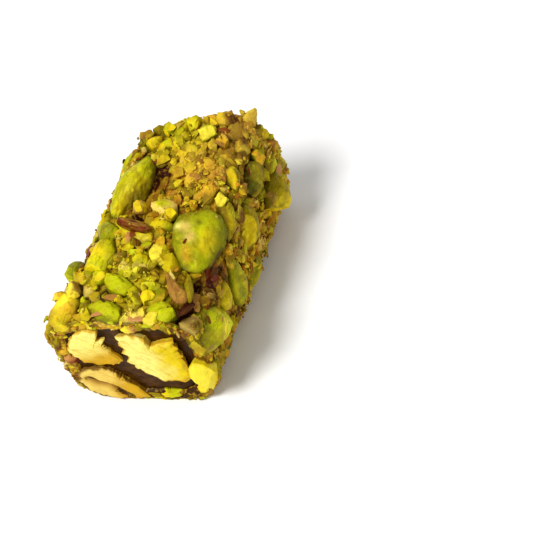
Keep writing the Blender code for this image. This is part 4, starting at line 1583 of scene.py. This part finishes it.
@dataclass
class ChoppedCoat:
    """The pressed coat: sticky paste, large bits, chopped bits, crumbs and flakes of skin."""

    log: Log
    heights: Heights
    kernels: Kernels
    bits: Material
    paste: Material
    papery: Material
    seed: int = 23
    piece_spacing: float = 4.3
    piece_half_size: tuple = (2.1, 3.5)
    piece_half_thickness: tuple = (1.5, 2.3)
    piece_proud: tuple = (0.8, 2.1)
    piece_corners: int = 9
    corner_jitter: float = 0.34
    clearance: float = 0.9
    paste_depth: float = 0.25
    paste_relief: float = 0.45
    inner_depth: float = 2.2
    paste_grid: tuple = (500, 168, 10, 8)
    chopped_count: int = 1500
    ring_count: int = 420
    sunk_by_gaps: float = 1.6
    flake_count: int = 70
    flake_half_thickness: float = 0.11

    def build(self) -> None:
        """Builds the coat, each kind of bit over what lies there already."""
        self.build_large_bits()
        self.build_pieces()
        self.build_paste()
        self.build_chopped()
        self.build_ring_bits()
        self.strew(CHIPS)
        self.strew(CRUMBS)
        self.build_flakes()

    def pit_depth(self, way: Array, along: Array) -> Array:
        """How deep the parted places sink the paste: each is depth times e^-(u^4 + v^2) of its own axes.

        Args:
            way: ways round the log.
            along: ways along it.

        Returns:
            Millimetres at each place.
        """
        depth = np.zeros(np.broadcast(way, along).shape)
        for gap in GAPS:
            apart, turn = -self.heights.way_from(gap.around, way), math.radians(gap.turn)
            lengthwise = math.cos(turn) * (along - gap.along) + math.sin(turn) * apart
            sideways = math.cos(turn) * apart - math.sin(turn) * (along - gap.along)
            falloff = np.exp(-((lengthwise / gap.length * 2) ** 4) - (sideways / gap.width * 2) ** 2)
            depth = np.maximum(depth, gap.depth * falloff)
        return depth

    def build_paste(self) -> None:
        """Works the paste out as a closed sleeve: outer wall, far ring, inner wall and near ring in one loop.

        The outer wall lies under the skin by paste_depth, less relief, plus the parted places. The relief is
        low lumps and packed granules of two sizes, each a dome with a tint and a height of its own.
        """
        columns, outer, ring, inner = self.paste_grid
        around = np.arange(columns) * 2 * math.pi / columns
        run, step_in = np.linspace(0.0, 1.0, outer), np.linspace(0.0, 1.0, ring)[1:-1]
        share = np.concatenate([run, 1.0 + 0.0 * step_in, np.linspace(1.0, 0.0, inner), 0.0 * step_in])
        deep = np.concatenate([np.zeros(outer), step_in, np.ones(inner), step_in[::-1]])[:, None]
        base = self.log.points(around[None], share[:, None], self.inner_depth * deep)
        way = self.heights.way_at(np.degrees(around))[None]
        pits = self.pit_depth(way, base[..., 1]) * (deep <= 0.0)
        lumps = Grain(31).layers(base, 3.2)
        near, gap, owner = Grain(41).granules(base, 1.15)
        small_near, small_gap, small_owner = Grain(43).granules(base, 0.62)
        domes = (1.0 - near**2) * (0.35 + 0.65 * owner)
        small_domes = (1.0 - small_near**2) * (0.3 + 0.7 * small_owner)
        raised = self.paste_relief * (0.5 * lumps + 1.15 * (domes - 0.45) + 0.5 * (small_domes - 0.45))
        raised = np.where(deep <= 0.0, raised, 0.0)
        inset = (self.paste_depth - raised + pits) * (1.0 - deep) + self.inner_depth * deep
        points = self.log.points(around[None], share[:, None], inset)
        on_ring = (deep > 0.0) & (deep < 1.0)
        sign = np.where(share < 0.5, -1.0, 1.0)[:, None]
        points[..., 1] += (0.5 * (domes - 0.6) + 0.2 * small_domes) * on_ring * sign
        points[..., 2] = np.maximum(points[..., 2], 0.02)
        tints = linears(GRANULE_TINTS)
        kinds, small_kinds = (
            np.minimum((drawn * len(tints)).astype(int), len(tints) - 1) for drawn in (owner, small_owner)
        )
        tint = 0.6 * tints[kinds] + 0.4 * tints[small_kinds]
        seam = smooth_step(0.24, 0.02, gap) * 0.75 + smooth_step(0.2, 0.02, small_gap) * 0.3
        tint = blend(tint, Tint.RED, np.clip(seam, 0.0, 0.85))
        tint = blend(tint, Tint.BROWN, 0.6 * smooth_step(0.2, 0.8, Grain(39).layers(base, 4.0)))
        tint = toned(self.heights, PATCHES, tint, way, base[..., 1])
        # Dark red in the parted places: partly the coat's own dark red, partly painted shade in the pits.
        tint = blend(tint, Tint.DARK_RED, smooth_step(0.1, 0.5, pits))
        smear = smooth_step(-0.2, 0.5, -base[..., 2] / 9.0 + 0.9 + 0.3 * lumps) * (deep > 0.0) * (sign < 0.0)
        tint = blend(tint, Tint.JELLY, smear)
        loop = len(share)
        flat = np.swapaxes(points, 0, 1).reshape(-1, 3)
        wrapped = grid_triangles(columns + 1, loop) % (columns * loop)
        triangles = outwards(flat - flat.mean(axis=0), wrapped)
        colours = np.swapaxes(tint, 0, 1).reshape(-1, 3)
        Surface(flat, triangles, colours, np.zeros(len(flat))).show_on_coat("coat_paste", self.paste)

    def pieces(self) -> list[tuple[Nut, Array]]:
        """The scattered pieces of the solid coat, drawn again by the same rule and the same seed.

        Returns:
            Each piece, and the corners of its broken sides.
        """
        rng = np.random.default_rng(self.seed)
        degrees, way = self.log.arcs()
        columns = int(round(way[-1] / self.piece_spacing))
        length = self.log.far_cut + self.log.far_slant_right - self.log.near_cut
        found = []
        for row in range(int(round(length / self.piece_spacing)) + 1):
            for column in range(columns):
                jitter = rng.uniform(-0.38, 0.38, 2)
                size = rng.uniform(*self.piece_half_size, 2)
                thickness = rng.uniform(*self.piece_half_thickness)
                proud = rng.uniform(*self.piece_proud)
                turn, tilt = rng.uniform(0, 360), rng.uniform(-22, 22)
                corners = rng.normal(0.0, self.corner_jitter, (self.piece_corners, 3))
                place = (column + 0.5 * (row % 2) + jitter[0]) / columns % 1.0
                around = float(np.interp(place * way[-1], way, degrees))
                along = self.log.near_cut - 1.0 + (row + jitter[1]) * self.piece_spacing
                sizes = (2 * size[0], 2 * size[1], 2 * thickness)
                piece = Nut(f"piece_{row}_{column}", around, along, turn, *sizes, proud, tilt=tilt)
                if self.clear_of_nuts(piece):
                    found.append((piece, unit(self.even_directions() + corners)))
        return found

    def even_directions(self) -> Array:
        """Directions spread evenly over a ball, along a spiral from pole to pole.

        Returns:
            One unit direction for each corner.
        """
        steps = np.arange(self.piece_corners) + 0.5
        height = 1.0 - 2.0 * steps / self.piece_corners
        angle = steps * math.pi * (3.0 - math.sqrt(5.0))
        level = np.sqrt(1.0 - height**2)
        return np.stack([level * np.cos(angle), level * np.sin(angle), height], axis=1)

    def clear_of_nuts(self, piece: Nut) -> bool:
        """Whether a piece's middle lies outside the footprint of every kernel and large bit.

        Args:
            piece: the piece.

        Returns:
            True where it does.
        """
        nuts = KERNELS + LARGE_BITS
        here, _ = self.log.seats(np.array([piece.around]), np.array([piece.along]))
        _, axes, seats, _ = seat_nuts(self.log, nuts, np.zeros(len(nuts)))
        apart = here - seats
        along = np.einsum("nk,nk->n", apart, axes[..., 1])
        beside = np.sqrt(np.maximum(np.einsum("nk,nk->n", apart, apart) - along**2, 0.0))
        width, length, _ = (half_sizes(nuts) + self.clearance).T
        return bool(((along / length) ** 2 + (beside / width) ** 2 >= 1.0).all())

    @staticmethod
    def hull_planes(corners: Array, most: int = 16) -> tuple[Array, Array]:
        """The flat sides of the tight skin over a few corners.

        Three corners make a side where all other corners lie on one side of their plane.

        Args:
            corners: the corners.
            most: how many planes to return. Spare ones repeat the first.

        Returns:
            Unit normals and distances from the middle.
        """
        triples = corners[np.array(list(combinations(range(len(corners)), 3)))]
        normals = unit(np.cross(triples[:, 1] - triples[:, 0], triples[:, 2] - triples[:, 0]))
        distances = np.einsum("ij,ij->i", normals, triples[:, 0])
        normals, distances = normals * np.sign(distances)[:, None], np.abs(distances)
        side = (corners @ normals.T <= distances + 1e-9).all(axis=0)
        normals, distances = normals[side][:most], distances[side][:most]
        spare = most - len(normals)
        normals = np.concatenate([normals, np.repeat(normals[:1], spare, axis=0)])
        return normals, np.concatenate([distances, np.full(spare, 90.0)])

    def build_pieces(self) -> None:
        """Dresses the solid coat's own scattered pieces: flat broken sides, one of them with skin."""
        rng = np.random.default_rng(self.seed + 1)
        found = self.pieces()
        nuts = [nut for nut, _ in found]
        sides = [self.hull_planes(corners) for _, corners in found]
        planes, distances = (np.array(part) for part in zip(*sides))
        half = half_sizes(nuts)
        directions, triangles = ball(columns=14, rows=9)
        reach, _ = cut_reach(directions, planes, distances, power=26.0, skin=0.0)
        nearest = nearest_plane(directions, planes, distances)
        light = np.take_along_axis(rng.uniform(0.86, 1.14, distances.shape), nearest, axis=1)
        local = directions * reach[..., None] * half[:, None]
        toward = unit(rng.normal(size=(len(nuts), 1, 3)) + [0.0, 0.0, 0.8])
        ways, alongs = self.heights.way_at(each(nuts, "around")), each(nuts, "along")
        middles, axes, seats, seat_axes = seat_nuts(
            self.log, nuts, half[:, 2] + self.sunk_by_gaps * self.pit_depth(ways, alongs)
        )
        own = spread_out(local, 30.0)
        share = smooth_step(0.45, 0.7, (unit(local) * toward).sum(-1) + 0.15 * Grain(61).at(own, 0.9))
        relief = (0.4 * Grain(63).layers(own, 1.5) + 0.14 * Grain(65).at(own, 0.5)) * (1.0 - 0.5 * share)
        points = set_down(middles, axes, local + directions * relief[..., None])
        points, pressed = self.log.trim(points, middles, proud=0.0)
        share = share * (1.0 - pressed)
        way, along, height = self.heights.lay(points, seats, seat_axes, ways, alongs, nut=False)
        tint = self.nut_colours(rng, share, own) * light[..., None]
        tint = toned(self.heights, PATCHES, tint, way, along)
        # Painted shade: pieces darken to brown where they lie deep in the coat.
        tint = painted_depth_shade(tint, height, low=-0.5, high=1.0, share=0.85)
        surface = Surface.of_copies(points, triangles, tint, share)
        surface.show_on_coat("coat_large_pieces", self.bits, sharp=28.0)

    @staticmethod
    def nut_colours(rng: Random, share: Array, own: Array) -> Array:
        """Colours for broken bits: each has its own skin and flesh, lightness and clouding.

        Args:
            rng: draws the tints.
            share: the skin's share at each point, N by V.
            own: the points, each bit in a place of its own, for clouding.

        Returns:
            N by V colours.
        """
        count = len(share)
        skin, flesh = (drawn_tints(rng, chances, count) for chances in (SKIN_TINTS, FLESH_TINTS))
        light = rng.uniform(0.72, 1.1, (count, 1, 1))
        cloud = 1.0 + 0.2 * Grain(71).layers(own, 1.4)
        brown = smooth_step(0.35, 0.8, Grain(73).layers(own, 1.8))
        tint = blend(flesh[:, None], skin[:, None], share)
        return blend(tint * light * cloud[..., None], Tint.BROWN, 0.3 * brown)

    def build_large_bits(self) -> None:
        """Dresses the large bits that are listed one by one."""
        surface = self.kernels.surface(LARGE_BITS + SMALL_BITS, columns=44, rows=28, seed=900, nearest=0.62)
        surface.show_on_coat("coat_large_bits", self.kernels.finish, sharp=40.0)

    @staticmethod
    def scatter(rng: Random, count: int, half: tuple, flat: float, fine: bool) -> tuple:
        """Bits of nut broken along random planes. The first two planes are skin.

        Args:
            rng: draws everything.
            count: how many.
            half: the least and the greatest half size.
            flat: thickness as a share of the size.
            fine: whether they are large enough to need more points.

        Returns:
            Points about their middles, skin shares and lightness at each point, half sizes and triangles.
        """
        directions, triangles = ball(7, 5) if fine else ball(6, 4)
        sizes = half[1] - (half[1] - half[0]) * rng.power(1.5, (count, 1))
        sizes = sizes * rng.uniform(0.75, 1.3, (count, 3)) * [1.0, 1.3, flat]
        planes = unit(rng.normal(size=(count, 9, 3)))
        distances = rng.uniform(0.45, 0.95, (count, 9))
        reach, _ = cut_reach(directions, planes, distances, power=30.0, skin=0.1)
        reach = reach * rng.uniform(0.82, 1.14, reach.shape)
        nearest = nearest_plane(directions, planes, distances)
        light = np.take_along_axis(rng.uniform(0.84, 1.12, (count, 9)), nearest, axis=1)
        local = directions * reach[..., None] * sizes[:, None]
        return local, (nearest < 2).astype(float), light, sizes, triangles

    @staticmethod
    def random_axes(rng: Random, axes: Array, lean: float) -> Array:
        """Random turns about the outward axis, leaning by up to lean degrees."""
        turn = rng.uniform(0, 2 * math.pi, len(axes))
        return turned_axes(axes, turn, np.radians(rng.uniform(-lean, lean, len(axes))))

    def draw_places(self, rng: Random, draws: int) -> tuple[Array, Array, Array, Array]:
        """Random places on the log and a little past its cuts.

        Args:
            rng: draws them.
            draws: how many.

        Returns:
            Ways round, ways along, degrees, and how far each place lies inside the nearer cut.
        """
        way = rng.uniform(0, self.heights.round, draws)
        along = rng.uniform(self.log.near_cut - 2.5, self.log.far_cut + 5.5, draws)
        degrees = self.heights.degrees_at(way)
        near, far = self.log.cuts(np.radians(degrees))
        return way, along, degrees, np.minimum(along - near, far - along)

    def build_chopped(self) -> None:
        """Covers the log with chopped bits, thinner over kernels and out of the parted places."""
        rng = np.random.default_rng(self.seed + 2)
        draws = self.chopped_count * 3
        way, along, degrees, inside = self.draw_places(rng, draws)
        kept = (inside > -0.6) & (self.pit_depth(way, along) < 0.03)
        kept &= (self.heights.at(way, along) < 0.9) | (rng.random(draws) < 0.14)
        kept &= ~self.heights.on_nut(way, along)
        chosen = np.flatnonzero(kept)[: self.chopped_count]
        way, along = way[chosen], along[chosen]
        seats, axes = self.log.seats(degrees[chosen], along)
        local, share, light, sizes, triangles = self.scatter(rng, len(way), (0.55, 1.9), flat=0.66, fine=True)
        proud = rng.uniform(0.05, 0.95, len(way))
        middles = seats - (0.62 * sizes[:, 2] - proud)[:, None] * axes[..., 2]
        points = set_down(middles, self.random_axes(rng, axes, lean=35.0), local)
        points, pressed = self.log.trim(points, middles, rng.uniform(-0.1, 0.3, (len(way), 1)))
        share = share * (1.0 - pressed)
        ways, alongs, height = self.heights.lay(points, seats, axes, way, along, nut=False)
        tint = self.nut_colours(rng, share, spread_out(local, 20.0)) * light[..., None]
        tint = toned(self.heights, PATCHES, tint, ways, alongs)
        # Painted shade: chopped bits darken to brown where they lie deep in the coat.
        tint = painted_depth_shade(tint, height, low=-0.4, high=0.9, share=0.85)
        surface = Surface.of_copies(points, triangles, tint, share)
        surface.show_on_coat("coat_chopped_bits", self.bits, sharp=24.0)

    def build_ring_bits(self) -> None:
        """Fills the coat's rings at both cuts with bits that the knife has cut flush."""
        rng = np.random.default_rng(self.seed + 3)
        count = self.ring_count
        far = rng.random(count) < 0.5
        around = self.heights.degrees_at(rng.uniform(0, self.heights.round, count))
        low = (around > 205) & (around < 320) | (around < -40)
        far = far | (low & (rng.random(count) < 0.75))
        inset = rng.uniform(0.3, self.inner_depth - 0.2, count)
        middles = self.log.points(np.radians(around), far.astype(float), inset)
        clear = self.clear_of_faces(middles, far)
        around, middles, far, count = around[clear], middles[clear], far[clear], int(clear.sum())
        near_along, far_along = self.log.cuts(np.radians(around))
        _, axes = self.log.seats(around, np.where(far, far_along, near_along))
        local, skin, light, _, triangles = self.scatter(rng, count, (0.5, 1.5), flat=0.7, fine=True)
        points = set_down(middles, self.random_axes(rng, axes, lean=90.0), local)
        points, pressed = self.log.trim(points, middles, rng.uniform(-0.15, 0.45, (count, 1)))
        skin = skin * (1.0 - pressed)
        tint = self.nut_colours(rng, skin, spread_out(local, 20.0)) * light[..., None]
        surface = Surface.of_copies(points, triangles, tint, skin)
        surface.show_on_coat("coat_cut_bits", self.bits, sharp=24.0)

    @staticmethod
    def clear_of_faces(middles: Array, far: Array) -> Array:
        """Which places in the two rings lie outside every laid-open kernel of their cut.

        Args:
            middles: the places.
            far: whether each is in the far ring.

        Returns:
            True for each clear place.
        """
        clear = np.ones(len(middles), dtype=bool)
        for nuts, at_far in ((NEAR_END_NUTS + NEAR_END_BITS, False), (FAR_END_NUTS, True)):
            for nut in nuts:
                right, up = middles[:, 0] - nut.right, middles[:, 2] - nut.up
                reach = CutKernels.rim(np.array(nut.outline) - [nut.right, nut.up], np.arctan2(up, right))
                clear &= (np.hypot(right, up) > reach + 0.35) | (far != at_far)
        return clear

    def strew(self, kind: Strewing) -> None:
        """Strews one kind of bit over whatever lies on top, in drifts, and few of them on kernels.

        Args:
            kind: the kind of bit.
        """
        rng = np.random.default_rng(self.seed + kind.seed)
        draws = kind.count * 4
        way, along, degrees, inside = self.draw_places(rng, draws)
        seats, axes = self.log.seats(degrees, along)
        drift = kind.even + 1.5 * Grain(81 + kind.seed).layers(seats, 6.0)
        wanted = np.where(self.heights.on_nut(way, along), kind.on_nuts, drift)
        wanted = wanted * (self.pit_depth(way, along) < 0.1)
        chosen = np.flatnonzero((inside > 0.0) & (rng.random(draws) < wanted))[: kind.count]
        way, along, seats, axes = way[chosen], along[chosen], seats[chosen], axes[chosen]
        local, share, light, sizes, triangles = self.scatter(rng, len(way), kind.half, kind.flat, kind.fine)
        height = np.maximum(self.heights.at(way, along), -self.paste_depth)
        middles = seats + (height - 0.2 * sizes[:, 2] + 0.05)[:, None] * axes[..., 2]
        points = set_down(middles, self.random_axes(rng, axes, kind.lean), local)
        points, _ = self.log.trim(points, middles, proud=0.2)
        if kind.fine:
            self.heights.lay(points, seats, axes, way, along, nut=False)
        tint = self.nut_colours(rng, share, spread_out(local, 20.0)) * light[..., None]
        tint = toned(self.heights, PATCHES, tint, way[:, None], along[:, None])
        surface = Surface.of_copies(points, triangles, tint, share * 0.3)
        surface.show_on_coat(kind.name, self.bits, sharp=20.0)

    def build_flakes(self) -> None:
        """Lays thin curled flakes of kernel skin: a few listed, the rest in drifts.

        A flake is a flattened ball whose outline is jagged and whose length is bent: its height falls with
        the square of the way along.
        """
        rng = np.random.default_rng(self.seed + 5)
        placed = [each(FLAKES, name) for name in ("around", "along", "turn", "length", "width")]
        extra_way = rng.uniform(0, self.heights.round, 2 * self.flake_count)
        extra_along = rng.uniform(self.log.near_cut + 2, self.log.far_cut - 1, 2 * self.flake_count)
        open_skin = np.flatnonzero(self.pit_depth(extra_way, extra_along) < 0.15)[: self.flake_count]
        extra = [self.heights.degrees_at(extra_way[open_skin]), extra_along[open_skin]]
        extra += [rng.uniform(low, high, len(open_skin)) for low, high in ((0, 360), (1.2, 2.8), (0.6, 1.3))]
        around, along, turn, length, width = np.concatenate([placed, extra], axis=1)
        count = len(around)
        seats, axes = self.log.seats(around, along)
        turned = turned_axes(axes, np.radians(turn), np.zeros(count))
        lean = np.radians(rng.uniform(-14, 14, (count, 1)))
        side_axis = np.cos(lean) * turned[..., 0] - np.sin(lean) * turned[..., 2]
        outward = np.cos(lean) * turned[..., 2] + np.sin(lean) * turned[..., 0]
        turned = np.stack([side_axis, turned[..., 1], outward], axis=-1)
        directions, triangles = ball(columns=10, rows=6)
        edges = unit(rng.normal(size=(count, 6, 3)) * [1.0, 1.0, 0.0] + [0.0, 0.0, 1e-6])
        reach, _ = cut_reach(directions, edges, rng.uniform(0.45, 0.95, (count, 6)), power=30.0)
        own = spread_out(np.broadcast_to(directions, (count, *directions.shape)), 9.0)
        half = np.stack([width / 2, length / 2, np.full(count, self.flake_half_thickness)], axis=-1)
        local = directions * (reach * (1.0 + 0.22 * Grain(91).at(own, 0.4)))[..., None] * half[:, None]
        bend = rng.uniform(-0.12, 0.22, (count, 1))
        local[..., 2] -= bend * (local[..., 1] ** 2 + local[..., 0] ** 2)
        height = np.minimum(self.heights.at(self.heights.way_at(around), along), 2.2)
        middles = seats + (height + 0.02)[:, None] * axes[..., 2]
        points, _ = self.log.trim(set_down(middles, turned, local), middles, proud=0.4)
        drawn = drawn_tints(rng, FLAKE_TINTS, len(open_skin))
        colour = np.concatenate([linears([flake.tint for flake in FLAKES]), drawn])
        streaks = Grain(93).at(spread_out(local, 9.0), (0.5, 2.0, 5.0))
        tint = blend(colour[:, None], Tint.TAN, 0.35 * smooth_step(0.1, 0.8, streaks))
        surface = Surface.of_copies(points, triangles, tint, np.ones(points.shape[:-1]))
        surface.show_on_coat("coat_skin_flakes", self.papery, sharp=50.0)


@dataclass(frozen=True)
class Studio:
    """A white surface, soft lights and the camera. Distances are metres, angles degrees."""

    azimuth: float = 33.2
    elevation: float = 50.0
    roll: float = -19.6
    distance: float = 0.2876
    aim: tuple = (0.0130, 0.0097, 0.0014)
    lens: float = 100.0
    key_from: tuple = (-0.27, -0.5, 0.83)
    key_strength: float = 2.8
    key_softness: float = 24.0
    world_strength: float = 0.5
    floor_side: float = 3.0

    def axes(self) -> tuple[Vector, Vector, Vector]:
        """The camera's right, up and backward directions.

        Returns:
            Three unit vectors.
        """
        azimuth, elevation = math.radians(self.azimuth), math.radians(self.elevation)
        level = math.cos(elevation)
        back = Vector((math.sin(azimuth) * level, -math.cos(azimuth) * level, math.sin(elevation)))
        right = Vector((math.cos(azimuth), math.sin(azimuth), 0.0))
        up = back.cross(right)
        cosine, sine = math.cos(math.radians(self.roll)), math.sin(math.radians(self.roll))
        return cosine * right + sine * up, cosine * up - sine * right, back

    def build(self) -> None:
        """Makes the floor, the world, the lights and the camera."""
        self.build_floor()
        self.build_world()
        self.build_key()
        self.build_camera()
        bpy.context.scene.view_settings.view_transform = "Standard"
        bpy.context.scene.view_settings.look = "None"

    def build_floor(self) -> None:
        """A plain white surface with the faintest unevenness."""
        half = self.floor_side / 2
        corners = [(-half, -half, 0.0), (half, -half, 0.0), (half, half, 0.0), (-half, half, 0.0)]
        mesh = bpy.data.meshes.new("floor")
        mesh.from_pydata(corners, [], [(0, 1, 2, 3)])
        bench = Bench("white_surface")
        cloud = bench.noise(60.0, 2.0)
        shade = bench.node("ShaderNodeCombineColor", inputs=dict.fromkeys(range(3), 0.95 + cloud * 0.04))
        mesh.materials.append(bench.finish({"Base Color": shade, "Roughness": 0.7}))
        put_in_scene("floor", mesh)

    def build_world(self) -> None:
        """Even white light from all round."""
        world = bpy.data.worlds.new("white_room")
        world.use_nodes = True
        ground = world.node_tree.nodes["Background"]
        ground.inputs["Color"].default_value = (1.0, 1.0, 1.0, 1.0)
        ground.inputs["Strength"].default_value = self.world_strength
        bpy.context.scene.world = world

    def build_key(self) -> None:
        """A wide soft light from above the near cut, a little to the left."""
        data = bpy.data.lights.new("key", "SUN")
        data.energy = self.key_strength
        data.angle = math.radians(self.key_softness)
        turned = Vector(self.key_from).to_track_quat("Z", "Y")
        put_in_scene("key", data).matrix_world = turned.to_matrix().to_4x4()

    def build_camera(self) -> None:
        """The camera looks down on the piece, rolled so that the piece leans as it should."""
        right, up, back = self.axes()
        data = bpy.data.cameras.new("camera")
        data.lens = self.lens
        data.clip_start = 0.01
        place = Matrix((right, up, back)).transposed().to_4x4()
        place.translation = Vector(self.aim) + self.distance * back
        bpy.context.scene.camera = put_in_scene("camera", data)
        bpy.context.scene.camera.matrix_world = place


def put_in_scene(name: str, data: bpy.types.ID) -> bpy.types.Object:
    """Makes an object of data and links it to the scene.

    Args:
        name: its name.
        data: its mesh, light or camera.

    Returns:
        The object.
    """
    made = bpy.data.objects.new(name, data)
    bpy.context.scene.collection.objects.link(made)
    return made


def main() -> None:
    """Builds the sub-assemblies in order, then the studio."""
    logging.basicConfig(level=logging.INFO, format="%(message)s")
    log = Log()
    heights = Heights(log)
    kernels = Kernels(log, heights, NutFinish("pistachio").make())
    bits = NutFinish("chopped_bits", roughness=0.55, fleck=0.35, crease=0.15).make()
    kernels.build()
    CutKernels(log, CutFinish().make()).build()
    Jelly(log, JellyFinish().make()).build()
    ChoppedCoat(log, heights, kernels, bits, PasteFinish().make(), FlakeFinish().make()).build()
    Studio().build()


if __name__ == "__main__":
    main()
